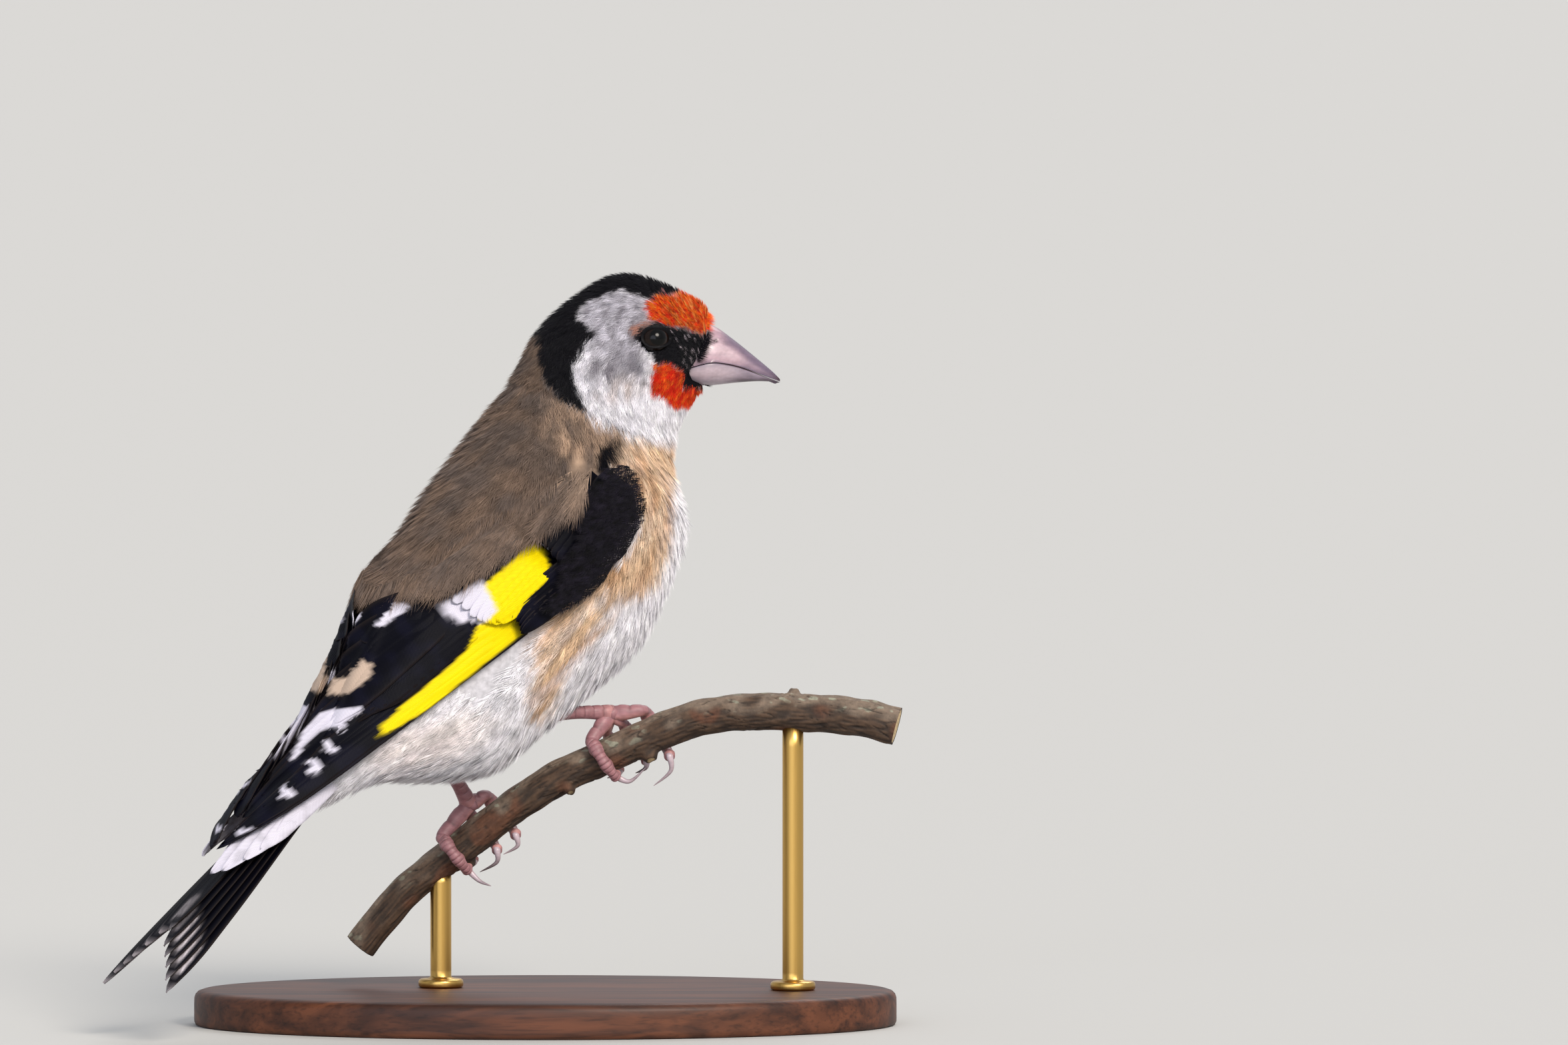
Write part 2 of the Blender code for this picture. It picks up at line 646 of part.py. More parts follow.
def make_wing(shape, finder, name, hand):
    chance = random.Random(SEED)
    wing = make_core(shape, finder, WING_CORE, CORE_THICK, hand)
    pieces = []
    for tier in TIERS.values():
        pieces += make_tier(shape, tier, hand, chance)
    boolean(wing, pieces, "UNION")
    wing.name = name
    wing.data.materials.append(make_material(name, "wing"))


def make_tail_coverts(shape, finder):
    chance = random.Random(SEED)
    for name, hand in (("tail_coverts_right", 1), ("tail_coverts_left", -1)):
        coverts = make_core(shape, finder, COVERT_CORE, 0.5, hand)
        pieces = make_tier(shape, TAIL_COVERTS, hand, chance)
        boolean(coverts, pieces, "UNION")
        coverts.name = name
        coverts.data.materials.append(make_material(name, "tail_coverts"))


def make_tail(shape):
    """Twelve tail feathers, the middle pair on top and the outer ones longest."""
    chance = random.Random(SEED + 1)
    pieces = []
    for hand in (1, -1):
        for number in range(TAIL_FEATHERS):
            share = number / (TAIL_FEATHERS - 1)
            length = TAIL_LENGTH_INNER + (TAIL_LENGTH_OUTER - TAIL_LENGTH_INNER) * share ** 0.8
            length *= chance.uniform(0.985, 1.015)
            root_side = hand * (0.4 + TAIL_HALF_ROOT * share)
            tip_side = hand * (0.9 + TAIL_HALF_TIP * share)
            height = TAIL_STACK * (TAIL_FEATHERS - 1) * (0.5 - share) + hand * LEFT_UNDER_RIGHT
            top, bottom = [], []
            for down in TAIL_STATIONS:
                middle = root_side + (tip_side - root_side) * down
                half = TAIL_FEATHER_WIDTH / 2 * (0.5 + 0.5 * smooth_step(down / 0.6))
                half *= 1 - 0.62 * smooth_step((down - 0.72) / 0.28) ** 1.6
                thick = VANE_THICK * (1 - 0.35 * max(0.0, down - 0.7) / 0.3)
                for shift, sag in ((-1.25 * half, 0.14), (0.75 * half, -0.1)):
                    aside = middle + hand * shift
                    rest = height - sag - TAIL_ARCH * aside ** 2
                    spot = down * length + GAP
                    bottom.append(shape.tail_point(spot, aside, rest - thick / 2))
                    top.append(shape.tail_point(spot, aside, rest + thick / 2))
            pieces.append(plate_solid("rectrix", top, bottom, 2))
    tail = root_block(shape)
    boolean(tail, pieces, "UNION")
    tail.name = "tail"
    tail.data.materials.append(make_material("tail", "tail"))


def root_block(shape):
    """Fleshy stump in which the tail feathers are rooted, facing the body's end."""
    angles = np.arange(12) * 2 * math.pi / 12
    rows = []
    for down, wide, high in STUMP_RINGS:
        ring = [shape.tail_point(down, wide * math.sin(angle), high * math.cos(angle))
                for angle in angles]
        rows.append(ring)
    return make_object("stump", *lofted(rows))


def swept(path, radii, sides, squash=1.0, start=(0, 0, 1)):
    """Rings of points along a path, kept from twisting."""
    path = np.asarray(path, float)
    ways = unit(np.gradient(path, axis=0))
    across = np.cross(ways[0], start)
    if np.linalg.norm(across) < 0.1:
        across = np.cross(ways[0], (0, 1, 0))
    across = unit(across)
    rows = []
    for spot, way, radius in zip(path, ways, radii):
        across = unit(across - way * np.dot(across, way))
        upward = np.cross(way, across)
        ring = [spot + radius * (across * math.cos(turn) + upward * math.sin(turn) * squash)
                for turn in np.arange(sides) * 2 * math.pi / sides]
        rows.append(ring)
    return rows


def make_tube(name, path, radii, sides, kind=None, squash=1.0):
    return make_object(name, *lofted(swept(path, radii, sides, squash)), kind)


class BranchShape:
    """Middle line and radius of the branch, by the share of its length."""

    def __init__(self):
        line = np.array(BRANCH_LINE)
        middle = line[:, 0].mean()
        depth = BRANCH_DEPTH - (line[:, 0] - middle) * math.tan(math.radians(BRANCH_TURN))
        self.points = np.stack([line[:, 0], depth, line[:, 1]], axis=1)

    def at(self, share):
        return along(self.points, share)

    def way(self, share):
        return unit(self.at(share + 0.01) - self.at(share - 0.01))

    def radius(self, share):
        return BRANCH_RADIUS_LOW + (BRANCH_RADIUS_HIGH - BRANCH_RADIUS_LOW) * share

    def skin(self, share, turn, lift):
        """Point over the bark: turn 0 is the top, and +90 degrees the bird's right side."""
        way = self.way(share)
        near = unit(np.cross(way, (0, 0, 1)))
        upward = np.cross(near, way)
        reach = self.radius(share) + lift
        return self.at(share) + (upward * math.cos(turn) + near * math.sin(turn)) * reach

    def share_at(self, x):
        shares = np.linspace(0, 1, 400)
        return float(shares[np.argmin(np.abs(self.at(shares)[:, 0] - x))])


def branch_rows(branch):
    chance = random.Random(SEED + 2)
    rows = []
    for share in np.linspace(0, 1, 22):
        ring = []
        for step in range(BRANCH_SIDES):
            turn = step * 2 * math.pi / BRANCH_SIDES
            ring.append(branch.skin(share, turn, -chance.uniform(0, BARK_ROUGH)))
        rows.append(ring)
    return rows


def make_perch(branch):
    perch = make_object("perch", *lofted(branch_rows(branch)), "perch")
    knots = []
    for share, turn, size in KNOTS:
        turn = math.radians(turn)
        path = [branch.skin(share, turn, lift) for lift in (-1.2, -0.2, 0.5 * size, 0.75 * size)]
        radii = (size, size, 0.7 * size, 0.45 * size)
        knots.append(make_tube("knot", path, radii, 8))
    boolean(perch, knots, "UNION")


def toe_and_claw(branch, foot, size, first, last, start, stop, claw_long, hook):
    """A toe from the foot down and round the branch between two places on it, and its claw."""
    near, far = branch.share_at(first), branch.share_at(last)
    bark = GAP + 0.15 + size
    path = [foot]
    for part in np.linspace(0.0, 1.0, 7):
        turn = start + (stop - start) * part
        path.append(branch.skin(near + (far - near) * part, turn, bark))
    shares = np.linspace(0, 1, TOE_STATIONS)
    smooth = along(path, shares)
    radii = [size * (1.1 - 0.25 * part) * (1 + 0.1 * math.cos(part * 6 * math.pi))
             for part in shares]
    toe = make_tube("toe", smooth, radii, TOE_SIDES)
    sweep = claw_long / (branch.radius(near) + 1.2) * math.copysign(1, stop - start)
    claw_path, claw_radii = [], []
    for part in np.linspace(-0.2, 1, 6):
        rise = bark + hook * max(part, 0) + 0.35 * math.sin(math.pi * max(part, 0))
        claw_path.append(branch.skin(far + (far - near) * 0.3 * part, stop + sweep * part, rise))
        claw_radii.append(CLAW_RADIUS * (1.15 - 0.9 * max(part, 0) ** 0.8))
    return [toe, make_tube("claw", claw_path, claw_radii, 5)]


def make_foot(branch, name, foot_side, toes):
    spot = branch.at(branch.share_at(foot_side[0]))
    centre = np.array([foot_side[0], spot[1], foot_side[1]])
    foot = ellipsoid(name, centre, (FOOT_RADIUS, FOOT_RADIUS * 0.9, FOOT_RADIUS * 0.8), 10, 7)
    foot.data.materials.append(make_material(name, "foot"))
    pieces = []
    for first, last, start, stop, size, claw_long, hook in toes:
        pieces += toe_and_claw(branch, centre, TOE_RADIUS * size, first[0], last[0],
                               math.radians(start), math.radians(stop), claw_long, hook)
    boolean(foot, pieces, "UNION")
    return centre


def make_leg(name, hip, foot):
    """Bare lower leg from the belly feathers to the foot."""
    hip, foot = np.asarray(hip), np.asarray(foot)
    bow = np.array([0.0, 0.0, LEG_BOW])
    path = [hip + (foot - hip) * part + bow * math.sin(math.pi * part)
            for part in np.linspace(0, 1, len(LEG_SWELL))]
    radii = [LEG_RADIUS * scale for scale in LEG_SWELL]
    return make_tube(name, path, radii, 10, "leg")


def inflated(thing, grow):
    """Copy of a solid pushed outward, to cut a neighbour clear of it."""
    mesh = thing.data.copy()
    mesh.update()
    normals = [corner.normal.copy() for corner in mesh.vertices]
    for corner, normal in zip(mesh.vertices, normals):
        corner.co += normal * grow * MM
    copy = bpy.data.objects.new("clearance", mesh)
    bpy.context.scene.collection.objects.link(copy)
    return copy


def ellipsoid(name, centre, radii, around=12, rings=7):
    rows = []
    for ring in range(1, rings):
        polar = math.pi * ring / rings
        rows.append([(centre[0] + radii[0] * math.sin(polar) * math.cos(turn),
                      centre[1] + radii[1] * math.cos(polar),
                      centre[2] + radii[2] * math.sin(polar) * math.sin(turn))
                     for turn in np.arange(around) * 2 * math.pi / around])
    points, faces = lofted(rows)
    points[-2] = (centre[0], centre[1] + radii[1], centre[2])
    points[-1] = (centre[0], centre[1] - radii[1], centre[2])
    return make_object(name, points, outward(points, faces))


def make_eyes(shape, finder, head):
    lids, clearances = [], []
    place = finder.find(EYE)
    for name, hand in (("eye_right", 1), ("eye_left", -1)):
        surface = flesh(shape, place[0], place[1] * hand)
        away = shape.normal(place[0], place[1] * hand)
        centre = surface - away * EYE_SUNK
        radii = (EYE_RADIUS,) * 3
        eye = ellipsoid(name, centre, radii)
        eye.data.materials.append(make_material(name, "eye"))
        clearances.append(ellipsoid("clearance", centre, (EYE_RADIUS + GAP,) * 3))
        level = unit(np.cross(away, (0, 0, 1)))
        upright = np.cross(level, away)
        ring = []
        for turn in np.arange(LID_POINTS) * 2 * math.pi / LID_POINTS:
            wide = LID_HALF_WIDE * math.cos(turn)
            high = LID_HALF_HIGH * math.sin(turn)
            flat = math.sqrt(max(EYE_RADIUS ** 2 - wide ** 2 - high ** 2, 0.0))
            ring.append(centre + level * wide + upright * high + away * (flat + GAP + 0.1))
        lids.append(make_ring("lid", ring, LID_THICK, centre))
    boolean(head, lids, "UNION")
    boolean(head, clearances, "DIFFERENCE")


def make_ring(name, line, thick, centre):
    """Closed ring of tube along a loop of points."""
    line = np.asarray(line)
    count = len(line)
    rows = []
    for number in range(count):
        way = unit(line[(number + 1) % count] - line[number - 1])
        outside = unit(line[number] - np.asarray(centre))
        across = unit(np.cross(way, outside))
        rows.append([line[number] + thick * (outside * math.cos(turn) + across * math.sin(turn))
                     for turn in np.arange(RING_SIDES) * 2 * math.pi / RING_SIDES])
    points = np.asarray(rows).reshape(-1, 3)
    faces = []
    for row in range(count):
        here = row * RING_SIDES
        other = (row + 1) % count * RING_SIDES
        for step in range(RING_SIDES):
            after = (step + 1) % RING_SIDES
            faces.append((here + step, here + after, other + after))
            faces.append((here + step, other + after, other + step))
    return make_object(name, points, outward(points, faces))


def make_bill(shape):
    """Upper and lower halves of the bill, parted by the line of the mouth."""
    _, forward = shape.ring_plane(HEAD_END)
    shares = np.array([0.0, 0.08, 0.2, 0.35, 0.5, 0.65, 0.8, 0.92, 1.0])
    culmen = along(CULMEN, shares)
    mouth = along(MOUTH, shares)
    gonys = along(GONYS, shares)
    turns = np.linspace(0, math.pi, 7)
    halves = {"bill_upper": [], "bill_lower": []}
    for number, share in enumerate(shares):
        half = BILL_HALF_WIDTH * (1 - share) ** 0.85 + 0.16
        gap = MOUTH_GAP / 2 * (1 - 0.35 * share)
        for name, edge, sign in (("bill_upper", culmen, 1), ("bill_lower", gonys, -1)):
            low = mouth[number] + np.array([0, sign * gap])
            high = edge[number]
            if (high[1] - low[1]) * sign < 0.14:
                high = low + np.array([0, sign * 0.14])
            ring = []
            for turn in turns:
                rise = math.sin(turn) ** 0.85
                x = low[0] + (high[0] - low[0]) * rise
                z = low[1] + (high[1] - low[1]) * rise
                ring.append((x, -half * math.cos(turn) * (1 if sign > 0 else 0.93), z))
            halves[name].append(ring)
    made = {}
    for name, rows in halves.items():
        points, faces = lofted(rows)
        made[name] = make_object(name, points, faces, name)
    pits = []
    depth = BILL_HALF_WIDTH * 0.62
    for hand in (1, -1):
        spot = (NOSTRIL[0], -hand * depth, NOSTRIL[1])
        pits.append(ellipsoid("nostril", spot, (NOSTRIL_RADIUS * 1.2, 0.7, NOSTRIL_RADIUS), 10, 6))
    boolean(made["bill_upper"], pits, "DIFFERENCE")


def make_stand(branch, perch):
    rows = []
    for inset, height in BASE_PROFILE:
        rows.append([(BASE_CENTRE[0] + (BASE_HALF_LONG - inset) * math.cos(turn),
                      BASE_CENTRE[1] + (BASE_HALF_DEEP - inset) * math.sin(turn), height)
                     for turn in np.arange(BASE_CORNERS) * 2 * math.pi / BASE_CORNERS])
    make_object("stand_base", *lofted(rows), "stand_base")
    for name, share in ROD_PLACES.items():
        spot = branch.at(share)
        foot = BASE_HIGH + GAP
        heights = (foot, foot + ROD_COLLAR_HIGH, foot + ROD_COLLAR_HIGH + 0.3, spot[2])
        radii = (ROD_COLLAR_RADIUS, ROD_COLLAR_RADIUS, ROD_RADIUS, ROD_RADIUS)
        rows = [[(spot[0] + radius * math.cos(turn), spot[1] + radius * math.sin(turn), height)
                 for turn in np.arange(ROD_SIDES) * 2 * math.pi / ROD_SIDES]
                for height, radius in zip(heights, radii)]
        rod = make_object(name, *lofted(rows))
        rod.data.materials.append(make_material(name, "stand_rod"))
        boolean(rod, [inflated(perch, GAP)], "DIFFERENCE")


def centre_on_floor():
    """Puts the middle of the whole model's box over the origin."""
    solids = [thing for thing in bpy.data.objects if thing.type == "MESH"]
    corners = np.array([tuple(corner.co) for thing in solids for corner in thing.data.vertices])
    middle = (corners.min(0) + corners.max(0)) / 2
    move = Vector((-middle[0], -middle[1], -corners[:, 2].min()))
    for thing in solids:
        thing.data.transform(Matrix.Translation(move))


def smooth_shading():
    for thing in bpy.data.objects:
        thing.data.shade_smooth()
        thing.data.set_sharp_from_angle(angle=math.radians(35))


def main():
    clear_scene()
    shape = BodyShape()
    finder = SideFinder(shape, GAP)
    branch = BranchShape()
    head = make_body(shape)
    make_eyes(shape, finder, head)
    make_bill(shape)
    for name, hand in (("wing_right", 1), ("wing_left", -1)):
        make_wing(shape, finder, name, hand)
    make_tail_coverts(shape, finder)
    make_tail(shape)
    make_perch(branch)
    torso = bpy.data.objects["torso"]
    for side, foot_side, toes, hip in (("right", FOOT_RIGHT, TOES_RIGHT, HIP_RIGHT),
                                       ("left", FOOT_LEFT, TOES_LEFT, HIP_LEFT)):
        foot_centre = make_foot(branch, "foot_" + side, foot_side, toes)
        leg = make_leg("leg_" + side, hip, foot_centre)
        foot = bpy.data.objects["foot_" + side]
        boolean(leg, [inflated(torso, GAP), inflated(foot, GAP)], "DIFFERENCE")
    make_stand(branch, bpy.data.objects["perch"])
    smooth_shading()
    centre_on_floor()


main()
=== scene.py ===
import math

import bpy
import numpy as np
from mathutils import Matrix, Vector


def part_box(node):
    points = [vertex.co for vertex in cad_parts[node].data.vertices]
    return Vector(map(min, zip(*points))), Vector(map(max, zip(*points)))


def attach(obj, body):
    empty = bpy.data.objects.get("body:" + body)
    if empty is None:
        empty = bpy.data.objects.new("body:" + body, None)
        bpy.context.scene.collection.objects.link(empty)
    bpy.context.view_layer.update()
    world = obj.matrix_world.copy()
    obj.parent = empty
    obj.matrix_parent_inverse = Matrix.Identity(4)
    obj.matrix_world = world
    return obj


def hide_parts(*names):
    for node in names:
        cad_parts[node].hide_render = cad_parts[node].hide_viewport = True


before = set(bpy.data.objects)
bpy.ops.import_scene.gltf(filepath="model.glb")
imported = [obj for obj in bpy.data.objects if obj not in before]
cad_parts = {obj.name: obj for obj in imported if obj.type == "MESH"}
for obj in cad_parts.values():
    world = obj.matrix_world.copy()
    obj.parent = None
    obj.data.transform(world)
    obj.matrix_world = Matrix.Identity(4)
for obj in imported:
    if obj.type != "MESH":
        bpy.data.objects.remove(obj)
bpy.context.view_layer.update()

# Everything below is in millimetres, in the bird's own frame: x from tail to bill, z up, and the
# bird's right side facing -y. A side point is (x, z), as the right side shows it.
mm = 0.001
standCentre = (-2.0, -6.0)
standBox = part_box("stand_base")
shift = np.array([(standBox[0][0] + standBox[1][0]) / 2 / mm - standCentre[0],
                  (standBox[0][1] + standBox[1][1]) / 2 / mm - standCentre[1], 0.0])
chance = np.random.default_rng(11)


def smoothStep(value):
    # 3t² - 2t³ of the value held between 0 and 1
    value = np.clip(value, 0, 1)
    return value * value * (3 - 2 * value)


def unit(vectors):
    # each vector over its own length
    return vectors / np.maximum(np.linalg.norm(vectors, axis=-1, keepdims=True), 1e-9)


def catmull(values, where):
    # cubic through evenly numbered rows, read at fractional row numbers
    values = np.asarray(values, float)
    where = np.clip(np.asarray(where, float), 0, len(values) - 1)
    low = np.clip(np.floor(where).astype(int), 0, len(values) - 2)
    part = (where - low).reshape(where.shape + (1,) * (values.ndim - 1))
    last = len(values) - 1
    before = values[np.maximum(low - 1, 0)]
    here = values[low]
    after = values[low + 1]
    beyond = values[np.minimum(low + 2, last)]
    return 0.5 * (2 * here + (after - before) * part
                  + (2 * before - 5 * here + 4 * after - beyond) * part ** 2
                  + (3 * here - before - 3 * after + beyond) * part ** 3)


def along(points, share):
    # the same cubic, read by the share 0 to 1 of its length in points
    return catmull(points, np.asarray(share, float) * (len(points) - 1))


def readTable(table, row, column):
    # bilinear reading of a table at fractional rows and columns
    row = np.clip(row, 0, table.shape[0] - 1.001)
    column = np.clip(column, 0, table.shape[1] - 1.001)
    top, left = row.astype(int), column.astype(int)
    down, right = row - top, column - left
    return ((table[top, left] * (1 - right) + table[top, left + 1] * right) * (1 - down)
            + (table[top + 1, left] * (1 - right) + table[top + 1, left + 1] * right) * down)


def ripple(points, size, seed, layers=9):
    # smooth noise from -1 to 1: the mean of sines in random directions, about size mm apart
    draw = np.random.default_rng(seed)
    ways = unit(draw.normal(size=(layers, points.shape[-1])))
    pitch = 2 * math.pi / (size * draw.uniform(0.6, 1.7, layers))
    phase = draw.uniform(0, 2 * math.pi, layers)
    total = sum(np.sin(points @ way * rate + start)
                for way, rate, start in zip(ways, pitch, phase))
    return total / math.sqrt(layers) / 1.1


def linear(code):
    # sRGB hex code to linear red, green and blue
    parts = np.array([int(code[at:at + 2], 16) for at in (1, 3, 5)]) / 255
    return np.where(parts <= 0.04045, parts / 12.92, ((parts + 0.055) / 1.055) ** 2.4)


def blendTo(colours, target, share):
    # colours moved towards a target by a share at each point
    target = linear(target) if isinstance(target, str) else target
    return colours + (target - colours) * np.asarray(share)[..., None]


def inside(points, outline, soft=0.35):
    # 1 within a closed outline of side points and 0 outside it, with an edge soft mm wide:
    # the sign comes from counting crossings, and the distance from the nearest edge
    outline = np.asarray(outline, float)
    ends = np.roll(outline, -1, axis=0)
    x, z = points[..., 0], points[..., 1]
    nearest = np.full(x.shape, 1e9)
    odd = np.zeros(x.shape, bool)
    for (x0, z0), (x1, z1) in zip(outline, ends):
        run, rise = x1 - x0, z1 - z0
        share = np.clip(((x - x0) * run + (z - z0) * rise) / (run * run + rise * rise), 0, 1)
        nearest = np.minimum(nearest, (x - x0 - share * run) ** 2 + (z - z0 - share * rise) ** 2)
        spans = (z0 > z) != (z1 > z)
        odd ^= spans & (x < x0 + run * (z - z0) / (rise if rise else 1e-9))
    away = np.sqrt(nearest) * np.where(odd, 1, -1)
    return smoothStep(away / soft + 0.5)


def blob(points, centre, reach, lean=0.0, soft=0.5):
    # 1 inside an ellipse and 0 outside, its long axis turned by lean degrees
    turn = math.radians(lean)
    x = points[..., 0] - centre[0]
    z = points[..., 1] - centre[1]
    u = (x * math.cos(turn) + z * math.sin(turn)) / reach[0]
    v = (z * math.cos(turn) - x * math.sin(turn)) / reach[1]
    return smoothStep((1 - np.hypot(u, v)) / soft + 0.5)


def putMesh(name, points, faces, material, colours=None, bake=None, smooth=True, more=None):
    # points in mm in the bird's frame, faces as one array of equal corners, colours per point,
    # bake as one uv per point, more as further attributes per point
    faces = np.asarray(faces, np.int32)
    count, corners = faces.shape
    mesh = bpy.data.meshes.new(name)
    mesh.vertices.add(len(points))
    mesh.vertices.foreach_set("co", ((points + shift) * mm).astype(np.float32).ravel())
    mesh.loops.add(count * corners)
    mesh.loops.foreach_set("vertex_index", faces.ravel())
    mesh.polygons.add(count)
    mesh.polygons.foreach_set("loop_start", np.arange(0, count * corners, corners, dtype=np.int32))
    mesh.update(calc_edges=True)
    if colours is not None:
        held = mesh.color_attributes.new(name="plumage", type="FLOAT_COLOR", domain="POINT")
        full = np.concatenate([colours, np.ones((len(colours), 1))], axis=1)
        held.data.foreach_set("color", full.astype(np.float32).ravel())
    if bake is not None:
        layer = mesh.uv_layers.new(name="OFBake")
        layer.data.foreach_set("uv", bake[faces.ravel()].astype(np.float32).ravel())
    for key, values in (more or {}).items():
        held = mesh.attributes.new(name=key, type="FLOAT", domain="POINT")
        held.data.foreach_set("value", values.astype(np.float32))
    mesh.polygons.foreach_set("use_smooth", np.full(count, smooth))
    mesh.materials.append(material)
    piece = bpy.data.objects.new(name, mesh)
    bpy.context.scene.collection.objects.link(piece)
    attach(piece, "root")
    return piece


def gridFaces(rows, columns, loop=False):
    # quads between neighbours of a grid of points, wrapped round when loop is set
    across = columns if loop else columns - 1
    row, column = np.meshgrid(np.arange(rows - 1), np.arange(across), indexing="ij")
    after = (column + 1) % columns
    return np.stack([row * columns + column, row * columns + after,
                     (row + 1) * columns + after, (row + 1) * columns + column], -1).reshape(-1, 4)


def split(quads):
    # each quad as two triangles over the same diagonal
    return np.concatenate([quads[:, [0, 1, 2]], quads[:, [0, 2, 3]]])


def outward(points, faces):
    # triangles turned round where the volume they bound is negative
    a, b, c = (points[faces[:, at]] for at in (0, 1, 2))
    volume = np.einsum("ij,ij->i", a, np.cross(b, c)).sum()
    return faces[:, ::-1] if volume < 0 else faces


def sweep(path, radii, around, squash=1.0, start=(0, 0, 1)):
    # rings of points round a path, carried without twisting: each ring's sideways direction is
    # the last one's, made square to the path again
    path = np.asarray(path, float)
    ways = unit(np.gradient(path, axis=0))
    across = np.cross(ways[0], start)
    if np.linalg.norm(across) < 0.1:
        across = np.cross(ways[0], (0, 1, 0))
    turns = np.arange(around) * 2 * math.pi / around
    rows = []
    for way, spot, radius in zip(ways, path, radii):
        across = unit(across - way * np.dot(across, way))
        upward = np.cross(way, across)
        radius = np.asarray(radius, float)
        ring = (np.cos(turns) * radius)[:, None] * across
        rows.append(spot + ring + (np.sin(turns) * radius * squash)[:, None] * upward)
    return np.array(rows)


def closed(rows):
    # points and triangles of a tube of rings, each end a fan round its own middle point
    rows = np.asarray(rows)
    count, around = rows.shape[:2]
    points = np.concatenate([rows.reshape(-1, 3), rows[:1].mean(1), rows[-1:].mean(1)])
    step = np.arange(around)
    after = (step + 1) % around
    base = (count - 1) * around
    first = np.stack([np.full(around, count * around), after, step], -1)
    last = np.stack([np.full(around, count * around + 1), base + step, base + after], -1)
    faces = np.concatenate([split(gridFaces(count, around, True)), first, last])
    return points, outward(points, faces)


def addNode(tree, kind, settings=None, links=None):
    # one shader node with its settings, socket values and links
    node = tree.nodes.new(kind)
    for key, value in (settings or {}).items():
        if isinstance(key, str) and hasattr(node, key):
            setattr(node, key, value)
        else:
            node.inputs[key].default_value = value
    for key, source in (links or {}).items():
        tree.links.new(source, node.inputs[key])
    return node


def newMaterial(name):
    material = bpy.data.materials.new(name)
    material.use_nodes = True
    tree = material.node_tree
    return material, tree, tree.nodes["Principled BSDF"]


def plumageMaterial(name, shadeSize, rough, sheen, bumpSize, bumpHigh):
    # Keratin barbs of contour feathers, dyed by the plumage attribute: matt, with a soft rim of
    # light from the down, and a faint unevenness from barb to barb.
    material, tree, surface = newMaterial(name)
    dye = addNode(tree, "ShaderNodeVertexColor", {"layer_name": "plumage"})
    place = addNode(tree, "ShaderNodeTexCoord")
    speckle = addNode(tree, "ShaderNodeTexNoise", {"Scale": 1 / (shadeSize * mm), "Detail": 3.0},
                      {"Vector": place.outputs["Object"]})
    shade = addNode(tree, "ShaderNodeMapRange", {"To Min": 0.82, "To Max": 1.16, "From Min": 0.3,
                                                 "From Max": 0.7},
                    {"Value": speckle.outputs["Fac"]})
    mixed = addNode(tree, "ShaderNodeVectorMath", {"operation": "SCALE"},
                    {0: dye.outputs["Color"], "Scale": shade.outputs["Result"]})
    tree.links.new(mixed.outputs["Vector"], surface.inputs["Base Color"])
    fine = addNode(tree, "ShaderNodeTexNoise", {"Scale": 1 / (bumpSize * mm), "Detail": 2.0},
                   {"Vector": place.outputs["Object"]})
    bump = addNode(tree, "ShaderNodeBump", {"Strength": 0.5, "Distance": bumpHigh * mm},
                   {"Height": fine.outputs["Fac"]})
    tree.links.new(bump.outputs["Normal"], surface.inputs["Normal"])
    surface.inputs["Roughness"].default_value = rough
    surface.inputs["Specular IOR Level"].default_value = 0.1
    surface.inputs["Sheen Weight"].default_value = sheen
    surface.inputs["Sheen Roughness"].default_value = 0.5
    return material


# The body's surface, ring by ring from the vent to the bill: back point, belly point, half
# width, and the turn away from the side view in degrees.
body = {
    "rings": (
        ((-38.4, 36.5), (-30.4, 33.3), 5.8, 33),
        ((-35.7, 40.7), (-24.9, 35.2), 8.1, 33),
        ((-32.9, 46), (-17.9, 35.2), 10.4, 33),
        ((-30.4, 52.4), (-9, 36.5), 12.5, 33),
        ((-28.2, 58.9), (-2.7, 41.5), 14.0, 33),
        ((-25.6, 65.6), (5, 47.9), 14.8, 32),
        ((-22, 71.6), (10.9, 53.1), 15.2, 31),
        ((-18.1, 77.1), (14.4, 58.8), 15.2, 30),
        ((-14.2, 82.4), (17, 65.7), 14.6, 29),
        ((-10.9, 86.6), (18.3, 71.7), 13.2, 26),
        ((-8.3, 89.9), (16.5, 78.8), 11.4, 20),
        ((-6, 94.1), (16.9, 83.5), 10.0, 13),
        ((-4.1, 98), (17.9, 85.9), 9.1, 7),
        ((-1.1, 101.2), (18.4, 87), 8.8, 3),
        ((2.7, 104.2), (19, 88.1), 8.6, 1),
        ((6.7, 106.5), (19.6, 88.9), 8.0, 0),
        ((10.4, 106.9), (20, 89.7), 7.2, 0),
        ((14.2, 105.8), (20.4, 90.3), 6.1, 0),
        ((17.6, 104.3), (20.7, 90.6), 5.1, 0),
        ((20.4, 102.8), (20.9, 90.8), 4.3, 0),
        ((21.7, 100.6), (21, 90.9), 3.7, 0),
    ),
    "straightRing": 14,
    "headStart": 12.0,
    "roundness": 2.15,
}
tail = {
    "root": (-35.7, 35),
    "middleEnd": (-59.2, 9.7),
    "turn": 33,
    "backRings": ((2.0, 6.0, 2.8), (9.0, 6.4, 2.1), (17.0, 6.7, 1.7), (26.0, 7.0, 1.4),
                  (36.0, 7.2, 1.2)),
}
bed = {
    "depth": 1.9,
    "rings": (2.0, 4.0, 9.3, 10.6),
    "upper": ((-1, 8), (2, 8), (4, 10), (6, 22), (8, 46), (10.5, 60)),
    "lower": ((-1, 125), (2, 112), (4, 104), (6, 104), (8, 106), (10.5, 100)),
    "edge": 12,
}


